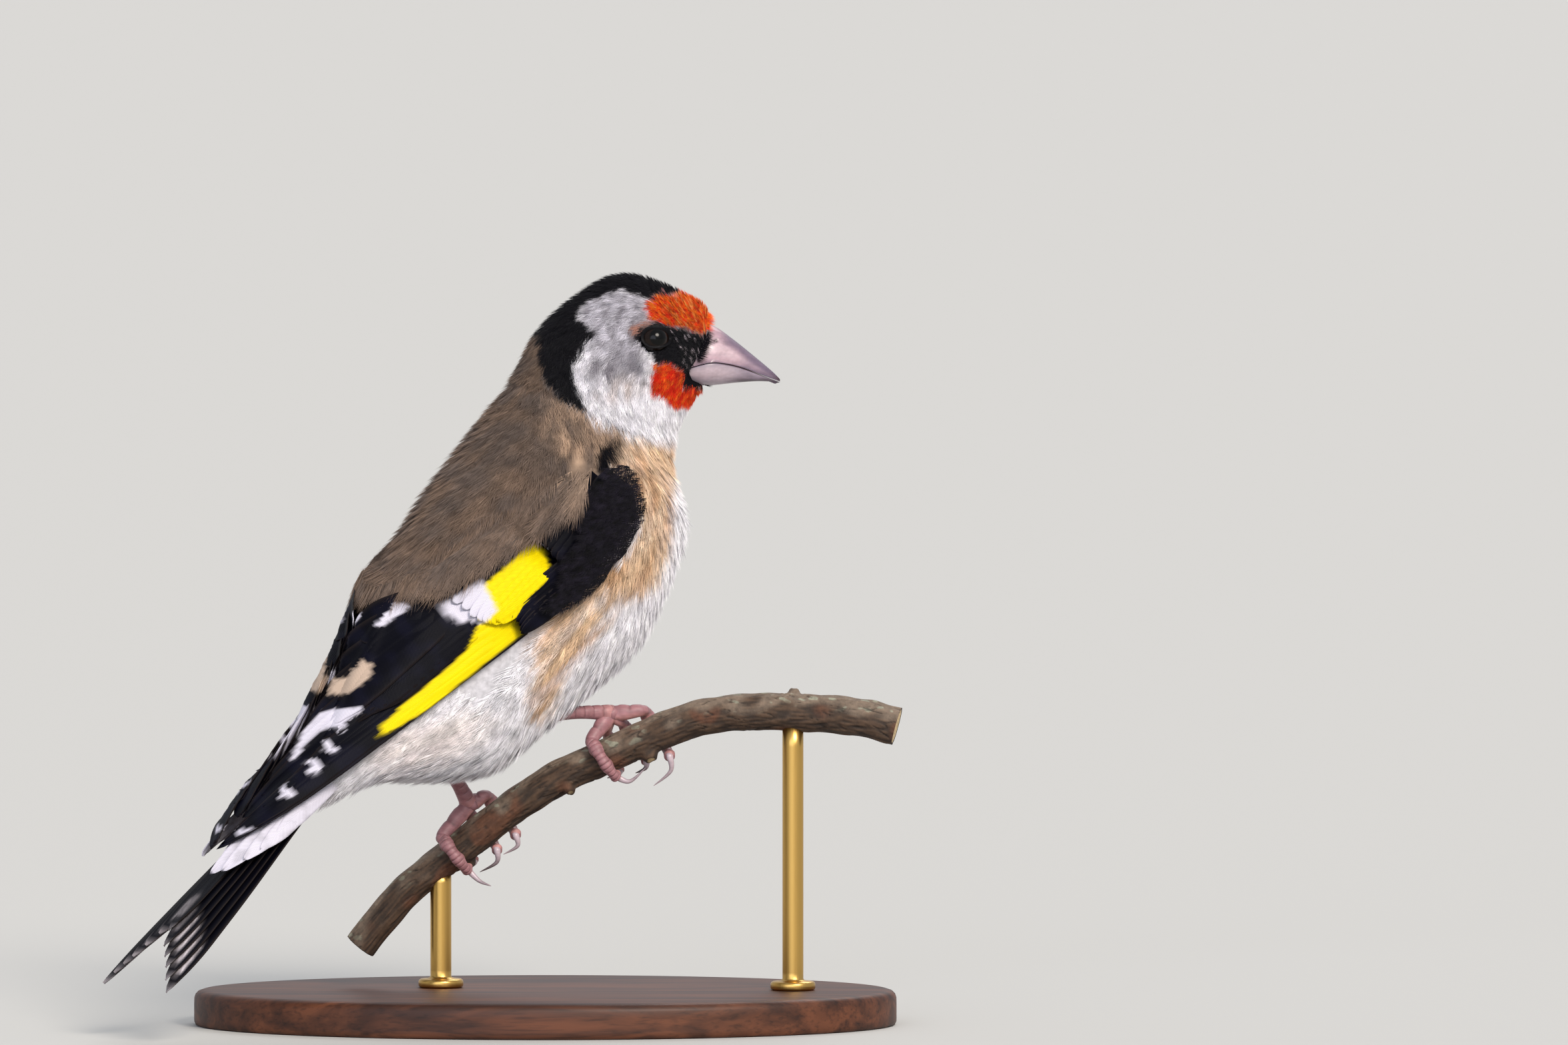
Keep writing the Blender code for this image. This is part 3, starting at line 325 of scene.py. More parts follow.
def shapeBody():
    # centre, up, side, half height and half width of each ring: the body turns away from the
    # side view by each ring's turn, so that its depth is the sum of run times tangent
    rings = body["rings"]
    back = np.array([ring[0] for ring in rings])
    belly = np.array([ring[1] for ring in rings])
    halfWidth = np.array([ring[2] for ring in rings], float)
    turn = np.radians([ring[3] for ring in rings])
    middle = (back + belly) / 2
    seen = (back - belly) / 2
    seenHalf = np.linalg.norm(seen, axis=1)
    seen = seen / seenHalf[:, None]
    straight = body["straightRing"]
    slope = np.tan((turn[:-1] + turn[1:]) / 2) * np.diff(middle[:, 0])
    slope[straight:] = 0
    depth = np.append(-np.cumsum(slope[::-1])[::-1], 0.0)
    side = np.stack([np.sin(turn), -np.cos(turn), 0 * turn], axis=1)
    up = np.stack([seen[:, 0] * np.cos(turn) ** 2, seen[:, 0] * np.sin(turn) * np.cos(turn),
                   seen[:, 1]], axis=1)
    lean = np.linalg.norm(up, axis=1)
    halfHigh = np.sqrt(np.maximum(seenHalf ** 2 - (halfWidth * seen[:, 0] * np.sin(turn)) ** 2,
                                  1.0)) / lean
    centre = np.stack([middle[:, 0], depth, middle[:, 1]], axis=1)
    turnTail = math.radians(tail["turn"])
    run = tail["middleEnd"][0] - tail["root"][0]
    tail["way"] = unit(np.array([run, run * math.tan(turnTail),
                                 tail["middleEnd"][1] - tail["root"][1]]))
    tail["side"] = np.array([math.sin(turnTail), -math.cos(turnTail), 0.0])
    tail["up"] = np.cross(tail["side"], tail["way"])
    tail["up"] *= np.sign(tail["up"][2])
    deep = centre[0][1] + (tail["root"][0] - centre[0][0]) * math.tan(turnTail)
    tail["start"] = np.array([tail["root"][0], deep, tail["root"][1]])
    behind = list(reversed(tail["backRings"]))
    body["first"] = len(behind)
    body["centre"] = np.concatenate([[tail["start"] + tail["way"] * ring[0] for ring in behind],
                                     centre])
    body["up"] = np.concatenate([np.tile(tail["up"], (len(behind), 1)), up / lean[:, None]])
    body["side"] = np.concatenate([np.tile(tail["side"], (len(behind), 1)), side])
    body["high"] = np.concatenate([[ring[2] for ring in behind], halfHigh])
    body["wide"] = np.concatenate([[ring[1] for ring in behind], halfWidth])


def tailPoint(down, sideways, height):
    # root + way·down + side·sideways + up·height
    return (tail["start"] + tail["way"] * np.asarray(down, float)[..., None]
            + tail["side"] * np.asarray(sideways, float)[..., None]
            + tail["up"] * np.asarray(height, float)[..., None])


def bodyPoint(ring, angle):
    # centre + up·high·|cos|^p + side·wide·|sin|^p, signs kept, with p = 2 / roundness
    ring, angle = np.broadcast_arrays(np.asarray(ring, float), np.asarray(angle, float))
    where = ring + body["first"]
    power = 2 / body["roundness"]
    across = np.sign(np.sin(angle)) * np.abs(np.sin(angle)) ** power
    upward = np.sign(np.cos(angle)) * np.abs(np.cos(angle)) ** power
    return (catmull(body["centre"], where)
            + unit(catmull(body["up"], where)) * (catmull(body["high"], where) * upward)[..., None]
            + unit(catmull(body["side"], where)) * (catmull(body["wide"], where) * across)[..., None])


def bodyFrame(ring, angle):
    # normal, tailward direction along the body, and millimetres per ring and per radian
    small = 0.02
    ring = np.clip(ring, small - body["first"], len(body["rings"]) - 1 - small)
    byRing = (bodyPoint(ring + small, angle) - bodyPoint(ring - small, angle)) / (2 * small)
    byAngle = (bodyPoint(ring, angle + small) - bodyPoint(ring, angle - small)) / (2 * small)
    normal = unit(np.cross(byAngle, byRing))
    return (normal, -unit(byRing), unit(byAngle), np.linalg.norm(byRing, axis=-1),
            np.linalg.norm(byAngle, axis=-1))


def bedShare(ring, angle):
    # 1 in the middle of the wing's bed and 0 outside it
    degrees = np.abs(np.degrees((np.asarray(angle) + math.pi) % (2 * math.pi) - math.pi))
    upper = np.interp(ring, [row[0] for row in bed["upper"]], [row[1] for row in bed["upper"]])
    lower = np.interp(ring, [row[0] for row in bed["lower"]], [row[1] for row in bed["lower"]])
    across = smoothStep((degrees - upper) / bed["edge"]) * smoothStep((lower - degrees) / bed["edge"])
    aft, aftEnd, foreStart, foreEnd = bed["rings"]
    return (across * smoothStep((foreEnd - ring) / (foreEnd - foreStart))
            * smoothStep((ring - aft) / (aftEnd - aft)))


def flesh(ring, angle, lift=0.0):
    # the body's surface with the wings' beds pressed in, raised by lift along its normal
    ring, angle = np.broadcast_arrays(np.asarray(ring, float), np.asarray(angle, float))
    normal = bodyFrame(ring, angle)[0]
    rise = np.asarray(lift, float) - bed["depth"] * bedShare(ring, angle)
    return bodyPoint(ring, angle) + normal * rise[..., None]


shapeBody()
print("body shape ready")

# What the plumage looks like. Outlines are side points; both sides of the bird carry the same.
markings = {
    "mantle": "#6e6058",
    "mantleWarm": "#806b5c",
    "mantleEdge": "#bfa28a",
    "buff": "#e8c8a6",
    "buffDeep": "#d3a982",
    "flankBrown": "#96765a",
    "white": "#f3f0f6",
    "bellyShade": "#aeb0ac",
    "cheek": "#c9c5cf",
    "cheekShade": "#8b868e",
    "trailTint": "#b8662e",
    "cheekTan": "#b7a294",
    "cheekArea": ((2.9, 103), (6.2, 104.3), (11.4, 103.9), (13.8, 101.1), (11.4, 95.4), (12.8, 88.7),
                  (11.4, 86.4), (7.1, 87.6), (3.8, 89.2), (1.9, 92.2)),
    "black": "#0c0b12",
    "red": "#d8260c",
    "redHighlight": "#ff7420",
    "forehead": "#ee3208",
    "foreheadHighlight": "#ff8420",
    "crown": ((17.3, 105.5), (16.5, 104.3), (15.3, 104.2), (14, 104.3), (12.5, 103.3), (10.9, 103.8),
              (8.6, 104.5), (6.2, 103.8), (3.8, 103), (2.5, 101.7), (2.1, 100.3), (3.8, 99.2), (5, 98.2),
              (3, 96.8), (2.7, 94.4), (1.6, 92.2), (2.7, 90.2), (3.5, 88.3), (4.4, 86.6), (2.9, 87),
              (0.8, 88.2), (-0.9, 89.7), (-2.7, 92.1), (-3.3, 94.4), (-3.9, 97.5), (-6.7, 98.2), (-4.8, 103),
              (1.9, 108.2), (8.6, 109.2), (16.1, 108.2)),
    "foreheadPatch": ((12.4, 103.1), (14, 104.3), (15.3, 104.2), (16.5, 104.3), (17.3, 105.5), (19.5, 105.8),
                      (24.7, 101.1), (21.7, 98.5), (21.1, 99), (20.3, 98.2), (19.4, 98.8),
                      (17.3, 99.2), (15.6, 99.7), (13.8, 100.2), (12.2, 100.5), (12, 101.8)),
    "mask": ((10.5, 97.7), (11.2, 98.8), (12.7, 99.9), (13.8, 100.2), (15.6, 99.7), (17.3, 99.2),
             (19.4, 98.8), (20.3, 98.2), (21.1, 99), (23.8, 99.2), (22.8, 92.5), (20.5, 92.3),
             (18.1, 92.3), (17.3, 92.9), (15.9, 93.5), (14.4, 94), (13.4, 94.3), (12.8, 95.2),
             (12, 96), (10.8, 96.8)),
    "chinPatch": ((12.9, 94.1), (14.4, 94.1), (16.1, 93.5), (17.6, 92.7), (17.7, 91.3), (17.3, 90.3),
                  (19, 89.9), (19.8, 90.1), (21.9, 89.7), (20.4, 88), (18.4, 87.2), (16.9, 87),
                  (15.7, 87.6), (14.4, 88.3), (13.1, 89.1), (12.7, 91.3)),
    "chinBlack": ((16.9, 92.9), (22.8, 92.9), (22.8, 90.4), (20.4, 90.2), (18.8, 89.6), (17.7, 89.9),
                  (17.2, 90.8)),
    "bareBill": ((22.1, 99.6), (21.5, 98), (20.5, 96), (19.7, 94), (18.7, 92.5), (18.6, 91.6),
                 (19.9, 90.9), (24.7, 89.7), (26.6, 100.1)),
    "trail": ((9.5, 99), (11.6, 100.3), (12.8, 100.1), (11.4, 98.7), (10.3, 97.5)),
    "breastPatch": ((7.4, 81.9), (8.6, 83.2), (10.4, 82.6), (14, 81.9), (16.5, 81.4), (17.7, 79.2),
                    (16.5, 73.5), (16.2, 69.7), (15.3, 65), (13.8, 61.4), (10.4, 59.5), (7.4, 60),
                    (4.9, 61.8), (6.2, 64.8), (8.6, 67.6), (10, 70.5), (11.2, 73.3), (10.9, 75.4),
                    (8.6, 78.7)),
    "flankPatch": ((4.8, 65), (7.4, 62.1), (9.3, 59.8), (6.2, 56.6), (4.2, 54.3), (1.7, 51.5),
                   (-0.2, 48.6), (-1.1, 45), (-2.7, 42.6), (-4.3, 43.1), (-4.8, 46.5),
                   (-3.8, 50.4), (-3.2, 54.3), (-4, 56.8), (-0.9, 60), (2.7, 62.9)),
    "whiteStreak": ((12, 72.6), (11.6, 69.5), (10.1, 66.1), (7.8, 64.2), (6.5, 65), (8.6, 67.6),
                    (10.4, 70.7)),
    "mantlePatch": ((-6.7, 101.6), (-3.2, 97.5), (-2.5, 93.9), (-1.9, 91.4), (0.9, 88.2), (4.2, 86.6),
                    (6.2, 84.7), (9, 83.8), (10.3, 81.9), (9, 79.2), (6.8, 78.8), (4.6, 76.8), (2.5, 73.9),
                    (0.2, 70.7), (-2.7, 69.2), (-5.7, 67.6), (-9.5, 65), (-13.3, 62.1), (-17.1, 59.8),
                    (-22.8, 59.8), (-30.4, 57.4), (-39, 60.2), (-30.4, 79.2), (-18.1, 92.5)),
    "shoulderSpot": ((7, 82.3), (8.2, 82.8), (9.5, 82.3), (9.3, 80.2), (8, 78.7), (6.8, 79.2),
                     (6.5, 80.8)),
    "rump": ((-28.5, 62.1), (-22.8, 59.8), (-26.6, 51.7), (-32.3, 43.1), (-35.1, 36.5), (-39.9, 33.6),
             (-43.7, 41.2), (-37, 54.5)),
}


def coatColours(ring, angle):
    # colour at places on the body: broad zones by where they lie, then patches inside outlines
    # that a little noise frays
    angle = np.abs((angle + math.pi) % (2 * math.pi) - math.pi)
    spots = bodyPoint(ring, angle)
    side = spots[..., [0, 2]]
    wobble = np.stack([ripple(spots, 1.6, 1), ripple(spots, 1.6, 2)], -1) * 0.28
    side = side + wobble
    degrees = np.degrees(angle)
    colours = np.tile(linear(markings["white"]), ring.shape + (1,))
    flow = np.stack([ring * 1.3, angle * 10], -1)
    streak = ripple(flow, 1.5, 4, 16)
    # shaded belly feathers, then buff on the breast's side, the flank and the thighs
    shade = smoothStep((8.0 - ring) / 3) * smoothStep((ripple(flow, 3.0, 3) + 0.5) / 1.4)
    colours = blendTo(colours, markings["bellyShade"], 0.25 * shade)
    breast = inside(side, markings["breastPatch"], 2.2) * (0.92 + 0.1 * streak)
    flank = inside(side, markings["flankPatch"], 2.6) * (0.85 + 0.35 * streak)
    vent = 0.22 * blob(side, (-19, 40.3), (9.0, 3.0), 15, 0.9)
    buff = np.clip(np.maximum(np.maximum(breast, flank), vent), 0, 1)
    middle = np.maximum(smoothStep((degrees - 163) / 8) * smoothStep((10.1 - ring) / 0.7),
                        smoothStep((degrees - 150) / 16) * smoothStep((8.7 - ring) / 1.0))
    buff = buff * (1 - 0.9 * middle) * (1 - 0.8 * inside(side, markings["whiteStreak"], 0.8))
    tint = linear(markings["buff"])
    deep = linear(markings["buffDeep"])
    mix = smoothStep(ripple(flow, 2.6, 5) * 0.7 + 0.25)[..., None]
    colours = colours + (tint + (deep - tint) * mix - colours) * buff[..., None]
    brownish = inside(side, markings["flankPatch"], 2.6) * smoothStep(ripple(flow, 1.1, 10) - 0.1)
    colours = blendTo(colours, markings["flankBrown"], 0.55 * brownish)
    # head: pale cheek with grey streaks
    head = smoothStep((ring - 11.6) / 1.5) * inside(side, markings["cheekArea"], 1.4)
    grey = smoothStep(ripple(flow * np.array([2.2, 1]), 1.3, 6, 16) * 0.55 + 0.3)
    colours = blendTo(colours, markings["cheek"], 0.8 * head)
    smudge = blob(side, (7.4, 93.2), (4.2, 2.3), 12, 0.9) * (0.75 + 0.3 * streak)
    colours = blendTo(colours, markings["cheekShade"], np.clip(0.85 * smudge, 0, 1))
    smudge = blob(side, (9.1, 89.9), (3.6, 1.8), 14, 0.9) * (0.6 + 0.4 * streak)
    colours = blendTo(colours, markings["cheekTan"], np.clip(0.6 * smudge, 0, 1))
    colours = blendTo(colours, markings["cheekShade"], 0.75 * head * grey)
    colours = blendTo(colours, markings["trailTint"], 0.75 * inside(side, markings["trail"], 0.8))
    # back
    mantle = inside(side, markings["mantlePatch"], 1.6)
    warm = smoothStep(ripple(spots, 6.0, 7) * 0.5 + 0.5)[..., None]
    brown = linear(markings["mantle"]) * (1 - warm) + linear(markings["mantleWarm"]) * warm
    tan = blob(side, (3.8, 83.5), (6.5, 4.5), -40, 0.9) * (0.6 + 0.4 * streak)
    brown = blendTo(brown, markings["mantleEdge"], tan)
    colours = colours + (brown - colours) * mantle[..., None]
    rump = inside(side, markings["rump"], 1.0)
    colours = blendTo(colours, markings["black"], 0.9 * rump)
    colours = blendTo(colours, markings["black"], inside(side, markings["shoulderSpot"], 0.8))
    # black crown and crescent, red face with bright dots of painted highlight, black mask
    colours = blendTo(colours, markings["black"], inside(side, markings["crown"], 0.5))
    flame = linear(markings["forehead"])
    light = linear(markings["foreheadHighlight"])
    # bright dots of painted highlight over the orange-red forehead
    dots = smoothStep(ripple(spots, 0.9, 8) * 0.9 + 0.35)[..., None]
    patch = inside(side, markings["foreheadPatch"], 0.45)[..., None]
    colours = colours + (flame + (light - flame) * dots - colours) * patch
    colours = blendTo(colours, markings["black"], inside(side, markings["mask"], 0.5))
    flame = linear(markings["red"])
    light = linear(markings["redHighlight"])
    # bright dots of painted highlight over the red chin
    dots = smoothStep(ripple(spots, 0.8, 9) * 0.9 + 0.1)[..., None]
    patch = inside(side, markings["chinPatch"], 0.45)[..., None]
    colours = colours + (flame + (light - flame) * dots - colours) * patch
    return blendTo(colours, markings["black"], inside(side, markings["chinBlack"], 0.5))


# Skin: one closed surface under the coat, and how deep it lies below the coat's outside.
skin = {
    "rings": 260,
    "around": 176,
    "lastRing": 20.0,
    "depths": ((-0.5, 0.9), (1, 1.3), (8, 1.35), (11, 1.1), (13, 0.75), (17, 0.5), (20, 0.35)),
}


def coatDepth(ring, angle):
    # read from the table by ring, and thinner where the wing's bed is
    depth = np.interp(ring, [row[0] for row in skin["depths"]], [row[1] for row in skin["depths"]])
    depth = depth * (1 - 0.75 * bedShare(ring, angle))
    face = bodyPoint(ring, np.abs(angle))[..., [0, 2]]
    return depth + 0.85 * inside(face, markings["bareBill"], 0.5) * (np.asarray(ring) > 16)


def skinPlace(ring, angle):
    # where a place on the body falls on the skin's own unwrap, 0 to 1 both ways
    turn = (np.asarray(angle) + math.pi) % (2 * math.pi) / (2 * math.pi)
    return np.stack([0.02 + 0.96 * turn, 0.02 + 0.96 * (np.asarray(ring) + 0.5) / 21.0], -1)


def makeSkin():
    ring, angle = np.meshgrid(np.linspace(-0.2, skin["lastRing"], skin["rings"]),
                              np.linspace(-math.pi, math.pi, skin["around"] + 1)[:-1],
                              indexing="ij")
    rows = flesh(ring, angle, -coatDepth(ring, angle))
    points, faces = closed(rows)
    colours = coatColours(ring, angle).reshape(-1, 3)
    # the skin takes the coat's colours darkened: painted shade where it shows between the feathers
    colours = np.concatenate([colours, colours[:1], colours[-1:]]) * 0.6
    places = skinPlace(ring, angle).reshape(-1, 2)
    places = np.concatenate([places, [[0.5, 0.01]], [[0.5, 0.99]]])
    material = plumageMaterial("downySkin", 0.8, 0.9, 0.0, 0.3, 0.1)
    piece = putMesh("skin", points, faces, material, colours, places)
    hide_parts("torso", "neck", "head")


makeSkin()
print("skin made")


# Coat: small body feathers, each a fan of closed tapered barbs laid tailward over the skin.
coat = {
    "zones": (
        # name, first ring, last ring, spacing, length, width, barbs, barb half width
        ("coatRear", 0.1, 5.2, 0.74, 5.6, 2.7, 12, 0.07),
        ("coatMiddle", 5.2, 8.2, 0.72, 5.2, 2.5, 12, 0.07),
        ("coatBreast", 8.2, 10.8, 0.64, 4.4, 2.3, 12, 0.06),
        ("coatNeck", 10.8, 13.6, 0.5, 3.0, 1.8, 10, 0.05),
        ("coatHead", 13.6, 16.8, 0.4, 2.1, 1.3, 9, 0.04),
        ("coatFace", 16.8, 19.9, 0.32, 1.3, 0.9, 8, 0.035),
    ),
    "fan": 95,
    "barbReach": 0.5,
    "patch": 0.003,
}
eye = {}
for side in ("right", "left"):
    low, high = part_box("eye_" + side)
    eye[side] = np.array([(low[at] + high[at]) / 2 / mm for at in range(3)]) - shift
eyeRadius = (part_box("eye_right")[1][0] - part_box("eye_right")[0][0]) / 2 / mm


travel = {"rings": np.linspace(-4, 20, 481), "angles": np.linspace(-math.pi, math.pi, 145)}


def measureTravel():
    # millimetres along the body from its rear end at each ring and angle, and the way back:
    # the ring at even distances
    points = bodyPoint(travel["rings"][:, None], travel["angles"][None])
    steps = np.linalg.norm(np.diff(points, axis=0), axis=-1)
    far = np.concatenate([np.zeros((1, steps.shape[1])), np.cumsum(steps, axis=0)])
    travel["far"] = far
    travel["even"] = np.linspace(0, far.max(), 961)
    travel["ring"] = np.stack([np.interp(travel["even"], column, travel["rings"])
                               for column in far.T], 1)


def ringBehind(ring, angle, distance):
    # the ring reached after going tailward by a distance at constant angle
    column = (np.asarray(angle) + math.pi) % (2 * math.pi) / (2 * math.pi) * 144
    far = readTable(travel["far"], (ring + 4) / 24 * 480, column) - distance
    return readTable(travel["ring"], far / travel["even"][-1] * 960, column)


measureTravel()


def scatter(firstRing, lastRing, spacing):
    # staggered rows round the body, spacing apart along it and round it, each place moved a
    # little at random
    rings, angles = [], []
    ring, odd = firstRing, 0
    probe = np.linspace(-math.pi, math.pi, 73)
    while ring < lastRing:
        loop = bodyPoint(np.full(73, ring), probe)
        steps = np.linalg.norm(np.diff(loop, axis=0), axis=1)
        girth = np.append(0, np.cumsum(steps))
        count = max(6, int(girth[-1] / spacing))
        at = (np.arange(count) + 0.5 * odd + chance.uniform(-0.35, 0.35, count)) / count * girth[-1]
        turn = np.interp(at % girth[-1], girth, probe)
        perRing = bodyFrame(np.full(count, ring), turn)[3]
        rings.append(ring + chance.uniform(-0.4, 0.4, count) * spacing / perRing)
        angles.append(turn)
        ring += spacing / np.median(perRing)
        odd = 1 - odd
    return np.concatenate(rings), np.concatenate(angles)


def coatGround(ring, angle):
    # the skin's height over the flesh
    return -coatDepth(ring, angle)


def featherMesh(ring, angle, length, width, barbs, half, rise, turnAside, sink, ground):
    # One fan per place. Barb j leaves the shaft at share q - reach and ends on the outline at
    # (q, w), with w = sin and q = 0.62 + 0.38 cos of the fan's angle. Its end is lifted off the
    # skin by rise·q, less a cup of w². A barb is a closed wedge: left, right, ridge and tip.
    count = len(ring)
    normal, down, around, perRing, perAngle = bodyFrame(ring, angle)
    fan = np.radians(np.linspace(-coat["fan"], coat["fan"], barbs))
    fan = fan + chance.uniform(-0.1, 0.1, (count, barbs))
    reach = 0.62 + 0.38 * np.cos(fan) + chance.uniform(-0.07, 0.05, (count, barbs))
    aside = np.sin(fan) * (1 + chance.uniform(-0.12, 0.12, (count, barbs)))
    start = np.maximum(reach - coat["barbReach"], 0.0)
    height = rise[:, None] * (0.25 + 0.75 * reach) - 0.16 * width[:, None] * aside ** 2
    height = height + chance.normal(0, 0.05, (count, barbs))
    startAngle = angle[:, None] + start * (length * np.sin(turnAside)
                                           / np.maximum(perAngle, 1.0))[:, None]
    startRing = ringBehind(np.broadcast_to(ring[:, None], start.shape), startAngle,
                           start * (length * np.cos(turnAside))[:, None])
    bottom = flesh(startRing, startAngle, ground(startRing, startAngle)
                   + rise[:, None] * 0.8 * start - sink * (1 - start))
    # the end of each barb is then carried over the body's own curve
    tipAngle = (angle[:, None] + (aside * width[:, None] / 2
                                  + reach * (length * np.sin(turnAside))[:, None])
                / np.maximum(perAngle, 1.0)[:, None])
    tipRing = ringBehind(np.broadcast_to(ring[:, None], reach.shape), tipAngle,
                         reach * (length * np.cos(turnAside))[:, None])
    under = flesh(tipRing, tipAngle, ground(tipRing, tipAngle))
    tip = under + bodyFrame(tipRing, tipAngle)[0] * (height + sink)[..., None]
    way = unit(tip - bottom)
    flat = unit(np.cross(way, normal[:, None] + 0.35 * chance.normal(0, 1, way.shape)))
    ridge = unit(np.cross(flat, way))
    points = np.stack([bottom + flat * half, bottom - flat * half, bottom + ridge * half * 0.7,
                       tip], axis=2)
    return points, tipRing, tipAngle


def coatFaces(blades):
    # the four triangles of each barb: underside, two upper sides and the closed root
    start = np.arange(blades)[:, None, None] * 4
    pattern = np.array([[0, 1, 3], [1, 2, 3], [2, 0, 3], [0, 2, 1]])
    return (start + pattern).reshape(-1, 3)


def bakePlaces(ring, angle, barbs):
    # each feather's uv patch: barbs side by side across it, root to tip along it
    centre = skinPlace(ring, angle)[:, None, None]
    u = np.linspace(-0.5, 0.5, barbs)[None, :, None] + np.array([-0.02, 0.02, 0.0, 0.0])
    v = np.array([-0.5, -0.5, -0.5, 0.5])[None, None, :] + 0 * u
    return (centre + coat["patch"] * np.stack([u, v], -1)).reshape(-1, 2)


def makeCoat(name, ring, angle, length, width, barbs, half, rise, turnAside, material,
             tint=None, sink=0.15, ground=coatGround, rootTone=False, vary=0.16, flecks=0.0):
    points, tipRing, tipAngle = featherMesh(ring, angle, length, width, barbs, half, rise,
                                            turnAside, sink, ground)
    count = len(ring)
    if rootTone:
        tone = np.repeat(coatColours(ring, angle)[:, None], barbs, axis=1)
    elif tint is None:
        tone = coatColours(tipRing.ravel(), tipAngle.ravel()).reshape(count, barbs, 3)
    else:
        tone = np.tile(linear(tint), (count, barbs, 1))
    if flecks > 0:
        # a few feathers of the black mask are pale; the red and orange ones lie in bright dots of painted
        # highlight and dark dots of painted shade
        masked = inside(bodyPoint(ring, np.abs(angle))[:, [0, 2]], markings["mask"], 0.3) > 0.6
        tone[(chance.uniform(size=count) < flecks) & masked] = linear("#b9adb4")
        dots = chance.normal(size=(count, 1))
        fiery = smoothStep((tone[..., 0] - 3 * tone[..., 2] - 0.1) / 0.2)
        # bright feathers carry a painted highlight, dark ones painted shade
        tone = blendTo(tone, "#ffa85c", 0.8 * fiery * smoothStep((dots - 0.5) / 0.8))
        tone = blendTo(tone, "#8a1404", 0.75 * fiery * smoothStep((-dots - 0.3) / 0.8))
    each = 1 + chance.normal(0, vary, (count, 1, 1))
    each = each + chance.normal(0, 0.12, (count, barbs, 1))
    middle = 1 - 0.16 * np.cos(np.radians(np.linspace(-coat["fan"], coat["fan"], barbs)))
    tone = np.clip(tone * each * middle[None, :, None] * 1.08, 0, 1)
    # painted shade: barbs darken to the root and lighten a little at the tip, the shade least in pale
    # feathers
    rootShade = np.array([0.55, 0.55, 0.7, 1.15])[None, None, :, None]
    light = 0.65 * smoothStep((tone.mean(-1) - 0.4) / 0.3)[:, :, None, None]
    colours = tone[:, :, None] * (rootShade + (1.04 - rootShade) * light)
    faces = coatFaces(count * barbs)
    piece = putMesh(name, points.reshape(-1, 3), faces, material,
                    np.clip(colours.reshape(-1, 3), 0, 1), bakePlaces(ring, angle, barbs),
                    smooth=False)
    print(name, count, "feathers", len(faces), "triangles")
    return piece


def makeBodyCoat():
    material = plumageMaterial("contourFeathers", 1.3, 0.8, 0.08, 0.12, 0.05)
    for name, first, last, spacing, length, width, barbs, half in coat["zones"]:
        ring, angle = scatter(first, last, spacing)
        degrees = np.degrees(np.abs(angle))
        here = bodyPoint(ring, angle)
        face = bodyPoint(ring, np.abs(angle))[..., [0, 2]]
        keep = bedShare(ring, angle) < 0.9
        brow = np.zeros(len(ring))
        keep &= ~((ring > 16) & (inside(face, markings["bareBill"], 0.1) > 0.5))
        for side in ("right", "left"):
            away = here - eye[side]
            far = np.linalg.norm(away, axis=1)
            keep &= far > eyeRadius * 1.02
            # feathers above, behind and below the eye stand up round it
            behind = (away * bodyFrame(ring, angle)[1]).sum(-1) / eyeRadius
            brow += 0.5 * np.exp(-((far / eyeRadius - 1.15) / 0.5) ** 2) \
                * smoothStep((behind + 0.75) / 0.5)
        ring, angle, degrees, here = ring[keep], angle[keep], degrees[keep], here[keep]
        count = len(ring)
        long = length * (1 + chance.uniform(-0.15, 0.15, count))
        wide = width * (1 + chance.uniform(-0.15, 0.15, count))
        # feathers lean together in locks, and stand out in a white tuft on the breast's middle
        lock = 0.16 * ripple(here, 2.4, 71) * smoothStep((14 - ring) / 2)
        rise = coatDepth(ring, angle) * (1 + lock + chance.uniform(-0.12, 0.18, count))
        tuft = smoothStep((degrees - 158) / 12) * np.exp(-((ring - 9.1) / 0.55) ** 2)
        rise = rise + 1.2 * tuft + brow[keep]
        turnAside = chance.normal(0, 0.1, count) + 0.14 * ripple(here, 3.2, 72) * (ring < 14)
        limit = 190000 // (4 * barbs)
        parts = max(1, math.ceil(count / limit))
        order = np.array_split(np.arange(count), parts)
        for number, rows in enumerate(order):
            label = name + ("ABCDEFGH"[number] if parts > 1 else "")
            makeCoat(label, ring[rows], angle[rows], long[rows], wide[rows], barbs, half,
                     rise[rows], turnAside[rows], material,
                     vary=0.24 if first > 16 else 0.14, flecks=0.1 if first > 16 else 0.0)


makeBodyCoat()
print("coat made")


